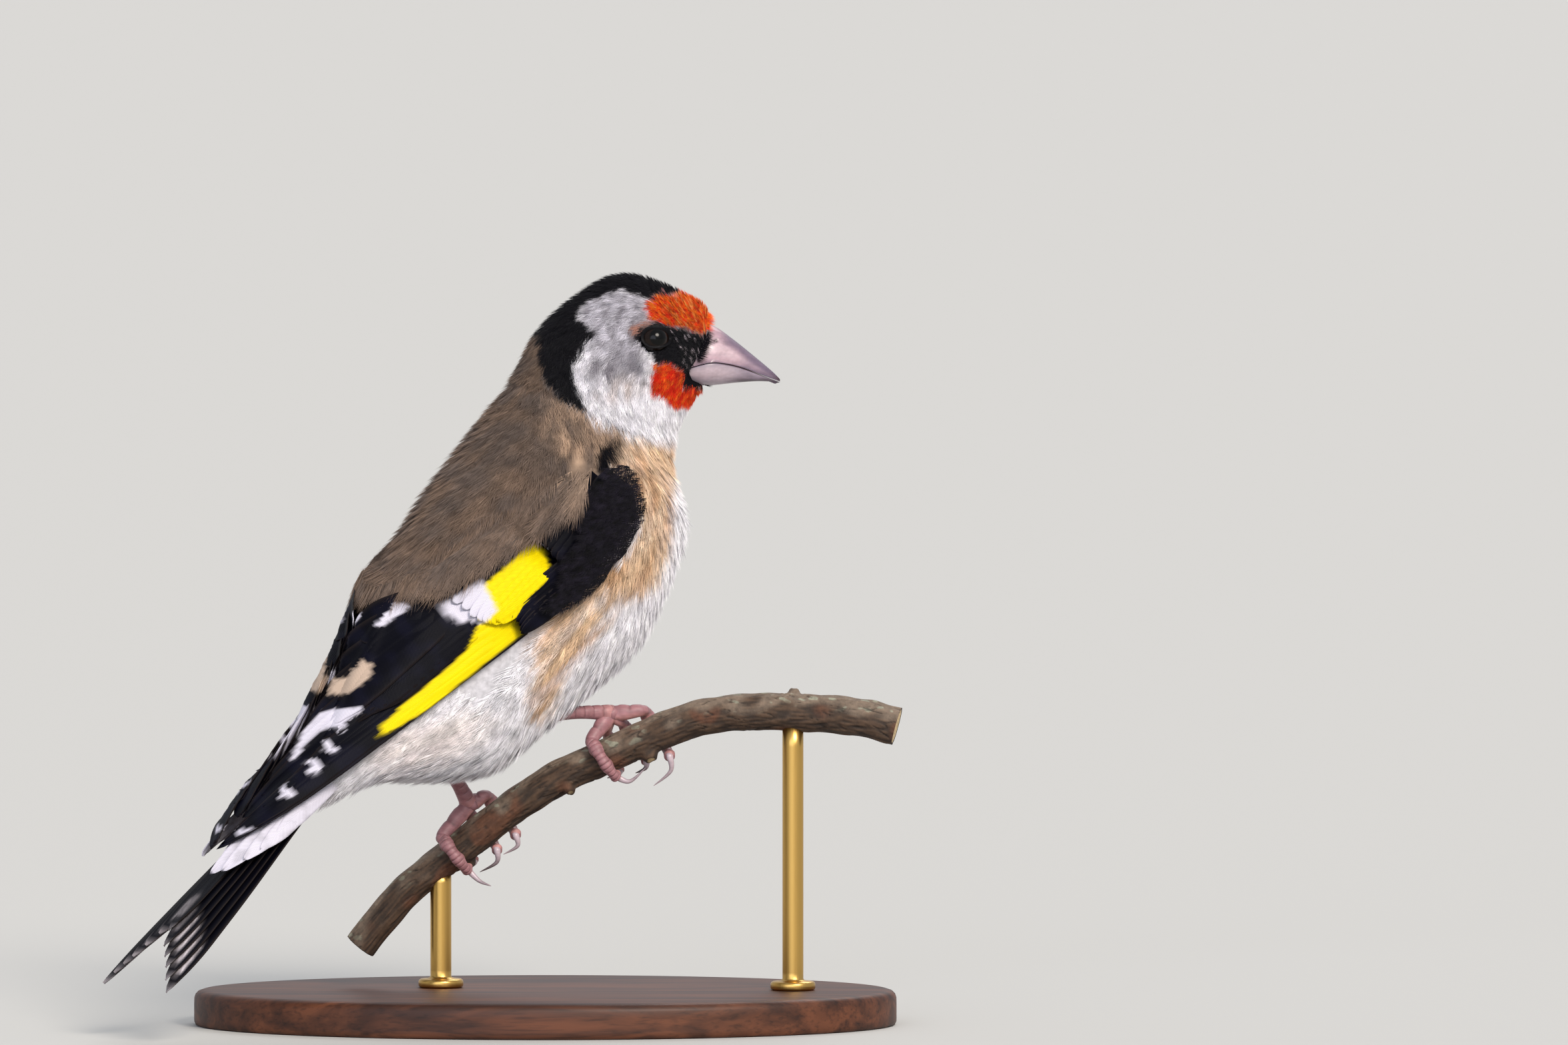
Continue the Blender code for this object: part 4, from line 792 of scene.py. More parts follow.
# Flight feathers and coverts of the folded wing, tier by tier, in the places that the wing solids
# have them. Lifts are from the body's surface, at the root and past it.
wing = {
    "rest": 0.6,
    "tuck": 1.5,
    "step": 0.21,
    "overTail": 1.3,
    "middleClear": 0.3,
    "vane": 0.4,
    "line": ((-5.9, 56.4), (-47.2, 27.5)),
    "cell": 0.35,
    "smoothing": 12,
    "tiers": (
        {"name": "primaries", "count": 8, "tuckTo": (0.1, 0), "roots": ((-4.8, 57.2), (-8.4, 62.9)),
         "tips": ((-47.2, 27.2), (-46.5, 28.1), (-42.6, 31.7), (-38, 35.5), (-34, 38.4), (-30.9, 41.6)),
         "widths": (2.0, 3.3), "low": 0.25, "high": 0.1, "step": 0.57, "tilt": 0.14,
         "point": 0.34, "grid": (44, 11)},
        {"name": "secondaries", "count": 6, "tuckTo": (0.1, 0), "roots": ((-10.6, 58.5), (-14.1, 64.2)),
         "tips": ((-28, 45.8), (-32.5, 43.1), (-37, 40.1)),
         "widths": (2.9, 5.0), "low": 0.4, "high": 1.0, "step": 0.6, "tilt": 0.14,
         "point": 0.55, "grid": (40, 13)},
        {"name": "tertials", "count": 4, "tuckTo": (0.12, 0.09),
         "roots": ((-12.9, 61.8), (-15.8, 62.7)),
         "tips": ((-35.1, 43.9), (-33.6, 47.9), (-31.5, 52.2), (-28.6, 56.4)),
         "widths": (4.2, 6.0), "low": 0.4, "high": 1.5, "step": 0.4, "tilt": 0.1,
         "point": 0.65, "grid": (40, 17)},
        {"name": "primaryCoverts", "count": 7, "roots": ((6.2, 65.7), (3.8, 68.6)),
         "tips": ((-5.1, 56.6), (-6.7, 59.8)),
         "widths": (1.5, 2.2), "low": 0.35, "high": 0.75, "step": 0.1, "tilt": 0.16,
         "point": 0.6, "grid": (26, 9)},
        {"name": "greaterCoverts", "count": 11, "roots": ((0.9, 66.3), (-5.1, 71.1)),
         "tips": ((-8.4, 58), (-11.2, 58.5), (-16.7, 62.5)),
         "widths": (1.8, 2.5), "low": 0.4, "high": 0.85, "step": 0.1, "tilt": 0.14,
         "point": 0.65, "grid": (28, 11)},
        {"name": "medianCoverts", "count": 9, "roots": ((7.4, 69.9), (2.1, 75.4)),
         "tips": ((2.1, 63.5), (-2.1, 69.2)),
         "widths": (1.6, 2.4), "low": 0.45, "high": 1.02, "step": 0.1, "tilt": 0.12,
         "point": 0.65, "grid": (18, 9)},
        {"name": "lesserCoverts", "count": 9, "roots": ((9.7, 74.5), (5.3, 78.7)),
         "tips": ((6.5, 67.3), (1.5, 74.3)),
         "widths": (1.5, 2.3), "low": 0.5, "high": 1.22, "step": 0.1, "tilt": 0.12,
         "point": 0.65, "grid": (16, 9)},
        {"name": "wristCoverts", "count": 7, "roots": ((9.9, 76.8), (7.4, 79.2)),
         "tips": ((10.3, 71.8), (5.1, 76.6)),
         "widths": (1.3, 1.9), "low": 0.55, "high": 1.42, "step": 0.1, "tilt": 0.12,
         "point": 0.65, "grid": (14, 9)},
        {"name": "primaries", "count": 4, "tuckTo": (0.1, 0),
         "roots": ((-9.1, 61.8), (-11.8, 63.5)),
         "tips": ((-44.8, 30.6), (-42.4, 34), (-39.5, 37.8), (-37.2, 41.2)),
         "widths": (2.4, 4.2), "low": 0.2, "high": 0.05, "step": 0.25, "tilt": 0.1,
         "point": 0.5, "grid": (44, 11)},
    ),
    "black": "#05050d",
    "sheen": "#0f0f20",
    "brownEdge": "#2c2420",
    "yellow": "#e2cc04",
    "yellowDeep": "#d8b400",
    "white": "#cdc9d6",
    "cream": "#b7a291",
    "yellowPatch": ((-4, 69.2), (-2.7, 69), (-1.5, 67.1), (-0.9, 64.4), (-3.8, 61.8), (-6.1, 58.1),
                    (-9.9, 58.1), (-11.4, 60.7), (-10.6, 63.3), (-7.4, 66)),
    "yellowBar": ((-11.8, 59.8), (-11.2, 58), (-12.8, 54.4), (-16.3, 51.2), (-20.2, 48.1), (-23.1, 45.5),
                  (-24.4, 44.3), (-25.1, 42.6), (-22.8, 43.4), (-17.6, 46.5), (-12.4, 50.7), (-7.3, 54.7),
                  (-4.8, 56.4), (-6.1, 59.8), (-6.7, 61.2)),
    "whiteTips": ((-16.7, 60.9), (-14.2, 62.1), (-10.7, 64.3), (-9.5, 61.9), (-8.5, 59.8), (-10.4, 58.1),
                  (-12.3, 58.6), (-13.8, 58.1), (-15.8, 59.5)),
    "marks": (
        ((-26, 57.8), (-25.1, 57.5), (-23, 58.9), (-20.7, 60.3), (-21.2, 61), (-22.8, 61), (-24.1, 59.6)),
        ((-32.5, 48.8), (-31.6, 50.3), (-29.8, 50.5), (-28.5, 51.9), (-27.6, 53.1), (-26.2, 52.2),
         (-26.3, 50.8),
         (-28.4, 48.9), (-30.5, 48.1), (-32.1, 48.2)),
        ((-37.7, 39), (-35.8, 43.1), (-33.2, 45.8), (-27.9, 46.5), (-27.5, 46), (-29.8, 44.4),
         (-30.1, 42.8), (-31.2, 43.8), (-33.6, 43.1), (-35.7, 40.9), (-37.2, 38.8)),
        ((-33.4, 41.7), (-32.3, 42), (-31.4, 40.9), (-31.1, 40.1), (-32.2, 40.1), (-32.9, 40.7)),
        ((-35.3, 39), (-34, 39.3), (-33, 37.8), (-33.2, 37.2), (-34.7, 37.5)),
        ((-39.1, 35.2), (-38.2, 35.7), (-37.5, 34.7), (-36.7, 34.5), (-37.6, 33.9), (-38.8, 34.2)),
        ((-45.5, 29.3), (-44.6, 29.6), (-42.8, 29.7), (-43.7, 29.1), (-45, 28.8)),
        ((-29.2, 57.9), (-28.9, 59.6), (-27.8, 60.6), (-27.9, 58.9), (-28.8, 57.6)),
        ((-34.8, 48.5), (-33.2, 52.6), (-32.3, 52.9), (-32.6, 50.6), (-33.7, 48.3)),
        ((-39.5, 40.5), (-39, 41.2), (-37.7, 41.6), (-38.2, 40.9), (-39.1, 40.3)),
        ((-41, 37.8), (-40.3, 39), (-39.1, 39.4), (-39.7, 38.6), (-40.8, 37.6)),
    ),
}


def measureSide():
    # The body as the right side shows it: its nearest surface's y in cells of wing["cell"] mm,
    # raised over the tail, with empty cells filled from their neighbours and the whole smoothed.
    ring, angle = np.meshgrid(np.linspace(-4.9, 13, 900), np.radians(np.linspace(-30, 170, 500)),
                              indexing="ij")
    extra = wing["overTail"] * smoothStep((1.6 - ring) / 1.8)
    points = flesh(ring, angle, extra).reshape(-1, 3)
    wing["corner"] = np.array([points[:, 0].min() - 8, points[:, 2].min() - 8])
    size = ((np.array([points[:, 0].max(), points[:, 2].max()]) + 8 - wing["corner"])
            / wing["cell"]).astype(int) + 1
    at = ((points[:, [0, 2]] - wing["corner"]) / wing["cell"] + 0.5).astype(int)
    depth = np.full(size, 1e3)
    np.minimum.at(depth, (at[:, 0], at[:, 1]), points[:, 1])
    known = depth < 1e3
    depth[~known] = 0
    weight = known.astype(float)
    for turn in range(60):
        total, share = depth * weight, weight
        for axis in (0, 1):
            total = total + np.roll(total, 1, axis) + np.roll(total, -1, axis)
            share = share + np.roll(share, 1, axis) + np.roll(share, -1, axis)
        fresh = total / np.maximum(share, 1e-9)
        depth = np.where(known, depth, fresh)
        weight = np.where(known, 1.0, np.minimum(share, 1.0) * 0.999)
    for turn in range(wing["smoothing"]):
        for axis in (0, 1):
            depth = (depth * 2 + np.roll(depth, 1, axis) + np.roll(depth, -1, axis)) / 4
    wing["depth"] = depth
    wing["top"] = np.full(size, 1e3)


def settleTop():
    # The folded wing's outside over the side view: the nearest vane in each cell, spread over
    # 1 mm to close the gaps between its points, the skin's place elsewhere, all smoothed.
    top = wing["top"]
    for turn in range(3):
        for axis in (0, 1):
            top = np.minimum(top, np.minimum(np.roll(top, 1, axis), np.roll(top, -1, axis)))
    top = np.where(top < 100, top, wing["depth"] + 1.2)
    for turn in range(5):
        for axis in (0, 1):
            top = (top * 2 + np.roll(top, 1, axis) + np.roll(top, -1, axis)) / 4
    wing["top"] = top


def nearY(side):
    # y of the smoothed near surface at side points
    at = (side - wing["corner"]) / wing["cell"]
    return readTable(wing["depth"], at[..., 0], at[..., 1])


def rubberBand(heights, share):
    # highest straight bridge over each column of heights: at every row, the greatest height on
    # a line between any earlier and any later row
    count = len(share)
    band = heights.copy()
    for first in range(count - 1):
        later = np.arange(first + 1, count)
        slope = (heights[later] - heights[first]) / (share[later] - share[first])[:, None]
        steep = np.maximum.accumulate(slope[::-1], axis=0)[::-1]
        reach = heights[first] + steep * (share[later] - share[first])[:, None]
        band[later] = np.maximum(band[later], reach)
    return band


def medianPlace(points):
    # nearest place on the body's middle line, and the sideways direction there
    rings = np.linspace(0, len(body["centre"]) - 1, 1600)
    centre = catmull(body["centre"], rings)
    side = unit(catmull(body["side"], rings))
    flat = points.reshape(-1, 3)
    best = np.concatenate([np.argmin(((part[:, None] - centre) ** 2).sum(-1), axis=1)
                           for part in np.array_split(flat, max(1, len(flat) // 2000))])
    return centre[best].reshape(points.shape), side[best].reshape(points.shape)


def keepClear(points, least):
    # points moved sideways until they lie at least this far right of the middle plane
    centre, side = medianPlace(points)
    reach = ((points - centre) * side).sum(-1, keepdims=True)
    return points + side * np.maximum(least - reach, 0)


def mirrored(points):
    # points carried to the other side of the body's middle plane
    centre, side = medianPlace(points)
    return points - 2 * ((points - centre) * side).sum(-1, keepdims=True) * side


def vaneGrid(root, tip, tier, number, rows, columns, loose):
    # A feather drawn in the side view, on shares along (0 root, 1 tip) and across (-1 to 1). Its
    # half width grows to full by 0.6, then narrows to a rounded tip. It bridges the body like a
    # rubber band along each column, then stands off by the tier's lift, a tilt from edge to edge,
    # an arch of 1 - across², a raised shaft, and fine ripples where barbs part near the edges.
    share = np.linspace(0, 1, rows) ** 0.9
    across = np.linspace(-1, 1, columns)
    run = tip - root
    length = np.linalg.norm(run)
    beside = np.array([run[1], -run[0]]) / length
    beside = beside * (1 if beside[1] > 0 else -1)
    near, full = tier["widths"]
    half = (near + (full - near) * np.minimum(share / 0.6, 1)) / 2
    rounded = np.sqrt(np.clip(1 - np.clip((share - 0.86) / 0.14, 0, 1) ** 2.2, 0.0, 1))
    half = half * (1 - (1 - tier["point"]) * smoothStep((share - 0.65) / 0.35) ** 1.4)
    half = half * np.maximum(rounded, 0.04)
    bow = tier.get("bow", 0.0) * np.sin(math.pi * share)
    side = (root + run * share[:, None])[:, None] + beside * (half[:, None] * across
                                                              + bow[:, None])[..., None]
    settle = smoothStep(share / 0.35)[:, None]
    line = np.array(wing["line"][1]) - np.array(wing["line"][0])
    crowd = smoothStep(((side[:, :1] - np.array(wing["line"][0])) @ line / (line @ line)) * 1.15)
    lift = tier["low"] + (tier["high"] - tier["low"]) * settle + loose
    lift = lift + tier["step"] * wing["step"] * number * crowd
    arch = 0.16 * (1 - across ** 2) - 0.05
    shaft = 0.07 * np.exp(-(across / 0.09) ** 2)
    rise = lift + tier["tilt"] * across * settle
    rise = rise + (arch + shaft) * smoothStep((1 - share) / 0.2)[:, None]
    parted = 0.05 * smoothStep((np.abs(across) - 0.6) / 0.4) * ripple(side, 1.2, 17 + number)
    rise = wing["rest"] + np.maximum(rise + parted, 0.05) + wing["vane"] - tier.get("sink", 0.0)
    first, more = tier.get("tuckTo", (0.24, 0))
    rise = rise - wing["tuck"] * (1 - smoothStep(share / (first + more * number)))[:, None]
    ground = -rubberBand(-nearY(side), share)
    slope = np.gradient(ground, axis=1) / np.maximum(np.linalg.norm(np.gradient(side, axis=1),
                                                                    axis=-1), 1e-6)
    stretch = np.sqrt(1 + np.clip(np.abs(slope), 0, 1.4) ** 2)
    top = ground - rise * stretch
    points = np.stack([np.stack([side[..., 0], top, side[..., 1]], -1),
                       np.stack([side[..., 0], top + 0.16, side[..., 1]], -1)])
    points = keepClear(points, wing["middleClear"])
    return points, side, np.broadcast_to(share[:, None], side.shape[:2]), \
        np.broadcast_to(across, side.shape[:2])


def vaneFaces(rows, columns):
    # top, underside and rim of one feather's two grids
    top = gridFaces(rows, columns)
    size = rows * columns
    grid = np.arange(size).reshape(rows, columns)
    rim = np.concatenate([grid[0], grid[1:, -1], grid[-1, -2::-1], grid[-2:0:-1, 0]])
    after = np.roll(rim, -1)
    edge = np.stack([rim, after, after + size, rim + size], -1)
    return split(np.concatenate([top, top[:, ::-1] + size, edge[:, ::-1]]))


def wingColours(side, share, across, tier):
    # black vanes with a brownish edge, then the yellow and white patches where the side view
    # has them, frayed a little along the barbs; the far wing carries the same ones
    fray = np.stack([ripple(side, 1.1, 21), ripple(side, 1.1, 22)], -1) * 0.1
    spots = side + fray
    colours = np.tile(linear(wing["black"]), share.shape + (1,))
    colours = blendTo(colours, wing["sheen"], 0.5 * smoothStep(ripple(side, 5, 23) + 0.2))
    colours = blendTo(colours, wing["brownEdge"], 0.5 * smoothStep((np.abs(across) - 0.8) / 0.2))
    name = tier["name"]
    if name in ("primaries", "secondaries", "greaterCoverts"):
        yellow = np.maximum(inside(spots, wing["yellowPatch"], 0.5) * (name == "greaterCoverts"),
                            inside(spots, wing["yellowBar"], 0.3))
        rich = linear(wing["yellow"]) * 0.85 + linear(wing["yellowDeep"]) * 0.15
        rich = rich * (1 + 0.06 * ripple(side, 0.8, 24)[..., None])
        colours = colours + (rich - colours) * yellow[..., None]
    if name in ("greaterCoverts", "tertials", "secondaries", "primaries"):
        colours = blendTo(colours, wing["white"], inside(spots, wing["whiteTips"], 0.8))
    if name in ("primaries", "secondaries", "tertials"):
        for order, outline in enumerate(wing["marks"]):
            colours = blendTo(colours, wing["cream"] if order == 1 else wing["white"],
                              inside(spots, outline, 0.25))
    return np.clip(colours, 0, 1)


def featherMaterial(name):
    # Closed vanes of flight feathers: hooked barbs lie side by side at 45 degrees to the shaft,
    # 0.25 mm apart here so that they show, and give a satin gloss along the vane.
    material, tree, surface = newMaterial(name)
    dye = addNode(tree, "ShaderNodeVertexColor", {"layer_name": "plumage"})
    down = addNode(tree, "ShaderNodeAttribute", {"attribute_name": "alongVane"})
    over = addNode(tree, "ShaderNodeAttribute", {"attribute_name": "acrossVane"})
    away = addNode(tree, "ShaderNodeMath", {"operation": "ABSOLUTE"}, {0: over.outputs["Fac"]})
    slant = addNode(tree, "ShaderNodeMath", {"operation": "SUBTRACT"},
                    {0: down.outputs["Fac"], 1: away.outputs["Value"]})
    turns = addNode(tree, "ShaderNodeMath", {"operation": "MULTIPLY", 1: 2 * math.pi / 0.27},
                    {0: slant.outputs["Value"]})
    wave = addNode(tree, "ShaderNodeMath", {"operation": "SINE"}, {0: turns.outputs["Value"]})
    shade = addNode(tree, "ShaderNodeMapRange", {"From Min": -1.0, "From Max": 1.0, "To Min": 0.8,
                                                 "To Max": 1.12}, {"Value": wave.outputs["Value"]})
    mixed = addNode(tree, "ShaderNodeVectorMath", {"operation": "SCALE"},
                    {0: dye.outputs["Color"], "Scale": shade.outputs["Result"]})
    tree.links.new(mixed.outputs["Vector"], surface.inputs["Base Color"])
    bump = addNode(tree, "ShaderNodeBump", {"Strength": 0.2, "Distance": 0.05 * mm},
                   {"Height": wave.outputs["Value"]})
    tree.links.new(bump.outputs["Normal"], surface.inputs["Normal"])
    surface.inputs["Roughness"].default_value = 0.5
    surface.inputs["Specular IOR Level"].default_value = 0.07
    return material


def joinVanes(name, vanes, material):
    # many feathers as one mesh, each with its own square of the unwrap
    points, faces, colours, places, downs, overs = [], [], [], [], [], []
    start = 0
    cells = math.ceil(math.sqrt(len(vanes)))
    for number, (grid, tone, share, across, length, width) in enumerate(vanes):
        rows, columns = share.shape
        points.append(grid.reshape(-1, 3))
        faces.append(outward(grid.reshape(-1, 3), vaneFaces(rows, columns)) + start)
        start += grid.shape[0] * rows * columns
        # each vane's underside takes its colour darkened: painted shade
        colours.append(np.concatenate([tone.reshape(-1, 3), tone.reshape(-1, 3) * 0.8]))
        cell = np.array([number % cells, number // cells])
        for layer in (0, 1):
            u = (cell[0] + 0.04 + 0.44 * layer + 0.42 * (across + 1) / 2) / cells
            v = (cell[1] + 0.04 + 0.92 * share) / cells
            places.append(np.stack([u, v], -1).reshape(-1, 2))
            downs.append((share * length).ravel())
            overs.append((across * width / 2).ravel())
    points, faces = np.concatenate(points), np.concatenate(faces)
    piece = putMesh(name, points, faces, material, np.concatenate(colours), np.concatenate(places),
                    more={"alongVane": np.concatenate(downs), "acrossVane": np.concatenate(overs)})
    print(name, len(vanes), "feathers", len(faces), "triangles")
    return piece


def tierVanes(tier, hand, draw):
    shares = np.linspace(0, 1, tier["count"])
    roots, tips = along(tier["roots"], shares), along(tier["tips"], shares)
    vanes = []
    rows, columns = tier["grid"]
    for number in range(tier["count"]):
        tip = roots[number] + (tips[number] - roots[number]) * (1 + draw.uniform(-0.02, 0.02))
        grid, side, share, across = vaneGrid(roots[number], tip, tier, number, rows, columns,
                                             draw.uniform(-0.03, 0.03))
        length = np.linalg.norm(grid[0, -1, columns // 2] - grid[0, 0, columns // 2])
        tone = wingColours(side, share, across, tier)
        if hand < 0:
            grid = mirrored(grid)
        else:
            at = ((side - wing["corner"]) / wing["cell"] + 0.5).astype(int)
            np.minimum.at(wing["top"], (at[..., 0], at[..., 1]), grid[0, ..., 1])
        vanes.append((grid, tone, share, across, length, tier["widths"][1]))
    return vanes


measureSide()
print("side view measured")


def makeWings():
    material = featherMaterial("flightFeathers")
    for name, hand in (("wing_right", 1), ("wing_left", -1)):
        draw = np.random.default_rng(31)
        vanes = []
        for tier in wing["tiers"]:
            vanes += tierVanes(tier, hand, draw)
        piece = joinVanes("folded_" + name, vanes, material)
        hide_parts(name)
    return material


vaneFinish = makeWings()
settleTop()
print("wings made")

# Tail: six feathers a side, the middle pair on top and the outer ones longest.
tailFan = {
    "feathers": 6,
    "outer": 38.5,
    "inner": 30.0,
    "halfRoot": 3.6,
    "halfTip": 8.0,
    "width": 4.6,
    "stack": 0.31,
    "arch": 0.012,
    "rows": 34,
    "columns": 9,
    "spot": "#dcd2d6",
}


def makeTail():
    draw = np.random.default_rng(32)
    vanes = []
    for hand in (1, -1):
        for number in range(tailFan["feathers"]):
            order = number / (tailFan["feathers"] - 1)
            length = tailFan["inner"] + (tailFan["outer"] - tailFan["inner"]) * order ** 0.8
            length = length * draw.uniform(0.985, 1.015)
            down = np.linspace(0, 1, tailFan["rows"]) ** 0.9
            across = np.linspace(-1, 1, tailFan["columns"])
            middle = hand * (0.4 + tailFan["halfRoot"] * order
                             + (0.5 + (tailFan["halfTip"] - tailFan["halfRoot"]) * order) * down)
            half = tailFan["width"] / 2 * (0.5 + 0.5 * smoothStep(down / 0.6))
            half = half * (1 - 0.55 * smoothStep((down - 0.72) / 0.28) ** 1.6)
            end = np.clip((down - 0.88) / 0.12, 0, 1)
            half = half * np.maximum(np.sqrt(1 - end ** 2), 0.04)
            inner = np.where(across < 0, 1.25, 0.75)
            aside = middle[:, None] + hand * half[:, None] * inner * across
            height = tailFan["stack"] * (tailFan["feathers"] - 1) * (0.5 - order) + 0.05 * hand
            height = height + 0.12 * across - tailFan["arch"] * aside ** 2 + 0.25
            shaft = 0.07 * np.exp(-(across / 0.09) ** 2)
            height = height + shaft * smoothStep((1 - down) / 0.2)[:, None]
            spots = np.broadcast_to((down * length + 0.3)[:, None], aside.shape)
            grid = np.stack([tailPoint(spots, aside, height),
                             tailPoint(spots, aside, height - 0.16)])
            share = np.broadcast_to(down[:, None], aside.shape)
            over = np.broadcast_to(across, aside.shape)
            tone = np.tile(linear(wing["black"]), aside.shape + (1,))
            tone = blendTo(tone, wing["brownEdge"], 0.5 * smoothStep((np.abs(over) - 0.8) / 0.2))
            patch = smoothStep((share - 0.74) / 0.05) * smoothStep((0.93 - share) / 0.05)
            patch = patch * smoothStep((0.35 - over) / 0.3) * (0.25 + 0.75 * (order > 0.3))
            rim = smoothStep((share - 0.965) / 0.02) * 0.5
            fray = 0.85 + 0.25 * ripple(grid[0], 1.0, 33)
            tone = blendTo(tone, tailFan["spot"], np.clip(np.maximum(patch, rim) * fray, 0, 1))
            vanes.append((grid, tone, share, over, length, tailFan["width"]))
    piece = joinVanes("tail_feathers", vanes, vaneFinish)
    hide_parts("tail")


makeTail()

# The long white coverts between wing tips and tail: six vanes on the right side and three on the left.
tailCoverts = {
    "tier": {"name": "tailCoverts", "count": 6, "roots": ((-30.8, 36.3), (-33.6, 36.9)),
             "tips": ((-39.5, 28.9), (-42.4, 26.2), (-45.2, 24.9), (-48.8, 23.1), (-46.9, 25.8)),
             "widths": (1.8, 2.6), "low": 0.15, "high": 0.2, "step": 0.1, "tilt": 0.12,
             "point": 0.45, "sink": 1.75, "grid": (30, 9)},
    "farSide": 3,
    "white": "#cbc7d3",
    "edge": "#8d8a90",
}


def makeTailCoverts():
    tier = tailCoverts["tier"]
    for side, hand in (("right", 1), ("left", -1)):
        draw = np.random.default_rng(34)
        vanes = []
        for grid, tone, share, across, length, width in tierVanes(tier, hand, draw):
            tone = np.tile(linear(tailCoverts["white"]), share.shape + (1,))
            tone = blendTo(tone, tailCoverts["edge"], 0.35 * smoothStep(ripple(grid[0], 2.5, 35)))
            vanes.append((grid, tone, share, across, length, width))
        if hand < 0:
            # the upper three would show past the tail's edge
            vanes = vanes[:tailCoverts["farSide"]]
        piece = joinVanes("tail_coverts_vanes_" + side, vanes, vaneFinish)
        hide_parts("tail_coverts_" + side)


makeTailCoverts()
print("tail made")

# Loose feathers over the folded wing: brown scapulars along its upper edge and small black
# coverts over its bend. Roots lie inside the outlines, over the wing's own height.
cover = {
    "most": 1.5,
    "wingArea": ((-19, 65.7), (-13.3, 63.8), (-5.7, 70.5), (1.9, 75.2), (5.7, 79.2), (8.1, 80.2),
                 (11.2, 75.9), (11.9, 73.1), (6.7, 65), (-5.2, 56), (-25.2, 41.7), (-47, 26.8),
                 (-48, 27.5), (-38, 42.2), (-29.4, 58.8), (-26.6, 65)),
    "line": ((-5.9, 56.4), (-47.2, 27.5)),
    "scapulars": {
        "roots": ((-26.6, 69.7), (-22.8, 75), (-13.3, 75.9), (-4.8, 79.2), (0.9, 80.2), (3.8, 78.8),
                  (2.1, 75.4), (-1.9, 72.4), (-5.7, 69.9), (-9.5, 67.3), (-13.3, 65), (-17.6, 64.2),
                  (-22.8, 65), (-26.6, 65)),
        "rings": (2.6, 10.2), "spacing": 0.7, "length": 6.6, "width": 2.8, "barbs": 14,
        "half": 0.07, "over": 0.3, "rise": 0.4, "slot": "body_plumage",
    },
    "bendCoverts": {
        "roots": ((6.2, 78.8), (8.6, 79.2), (10.9, 75.6), (11.4, 73.3), (10.3, 70.5), (8.7, 67.6),
                  (6.5, 65), (2.7, 61.8), (-0.4, 59.9), (-2.4, 60.2), (-0.2, 62.9), (-0.2, 65),
                  (0.9, 67.6), (2.7, 69.7), (2.1, 73.1), (3.2, 75.9)),
        "rings": (5.0, 11.6), "spacing": 0.5, "length": 2.2, "width": 1.7, "barbs": 12,
        "half": 0.05, "over": 0.0, "rise": 0.14, "slot": "wing_feather",
    },
}


def overWing(over):
    def ground(ring, angle):
        # lift that carries a place on the body out to the folded wing's outside and over past it
        away = np.abs(angle)
        base = flesh(ring, away, 1.0)
        at = (base[..., [0, 2]] - wing["corner"]) / wing["cell"]
        top = readTable(wing["top"], at[..., 0], at[..., 1])
        facing = np.maximum(-bodyFrame(ring, away)[0][..., 1], 0.45)
        lift = 1.0 + (base[..., 1] - top + over) / facing
        most = cover["most"] + bed["depth"] * bedShare(ring, away)
        return np.clip(lift, -coatDepth(ring, angle), most)
    return ground


def layCovers(name, tint, alongWing, material):
    # each feather's lie is turned aside from tailward so that, in the side view, it points
    # along the folded wing; down and around are solved for that direction
    style = cover[name]
    ring, angle = scatter(*style["rings"], style["spacing"] * (1))
    face = flesh(ring, np.abs(angle))[..., [0, 2]]
    normal, down, around, perRing, perAngle = bodyFrame(ring, np.abs(angle))
    keep = (inside(face, style["roots"], 0.1) > 0.5) & (normal[:, 1] < 0.2)
    ring, angle, down, around = ring[keep], angle[keep], down[keep], around[keep]
    count = len(ring)
    turn = chance.normal(0, 0.12, count)
    if alongWing:
        line = np.array(cover["line"][1]) - np.array(cover["line"][0])
        both = np.stack([down[:, [0, 2]], around[:, [0, 2]]], -1)
        parts = np.linalg.solve(both, np.tile(unit(line), (count, 1))[..., None])[..., 0]
        turn = turn + np.arctan2(parts[:, 1], parts[:, 0]) * np.sign(angle)
    long = style["length"] * (1 + chance.uniform(-0.15, 0.2, count))
    wide = style["width"] * (1 + chance.uniform(-0.15, 0.15, count))
    rise = style["rise"] * (1 + chance.uniform(-0.3, 0.4, count))
    piece = makeCoat(name, ring, angle, long, wide, style["barbs"], style["half"], rise, turn,
                     material, tint, 0.1, overWing(style["over"]), not alongWing,
                     vary=0.55 if alongWing else 0.16)
    return piece


coverFinish = plumageMaterial("looseCoverts", 1.3, 0.7, 0.05, 0.12, 0.05)
layCovers("scapulars", None, False, coverFinish)
layCovers("bendCoverts", "#14111a", True, coverFinish)


# Bill: two closed halves, each a fan of half rings from the mouth line to its outer edge. The
# first fifth lies under the feathers of the face.
bill = {
    "culmen": ((18.6, 100.1), (21.9, 99.3), (24.7, 97.4), (27.7, 95), (30.2, 92.9), (31.4, 91.7)),
    "mouth": ((18.2, 93.3), (21.3, 94.1), (23.3, 94), (25.8, 93.4), (29, 92.2), (31.4, 91.3)),
    "gonys": ((17.9, 91.2), (20.7, 90.8), (22.5, 90.9), (25.2, 91.2), (28.3, 91.4), (30.7, 91.3)),
    "halfWidths": (4.0, 3.75, 3.0, 2.1, 1.15, 0.18),
    "gap": 0.16,
    "nostril": (22.2, 97.2),
    "pit": (0.5, 0.32, 0.35),
    "stations": 90,
    "around": 44,
    "ivory": "#aa8d96",
    "pale": "#c2adb3",
    "grey": "#655669",
    "tip": "#2c1c1e",
    "low": "#9f919a",
}


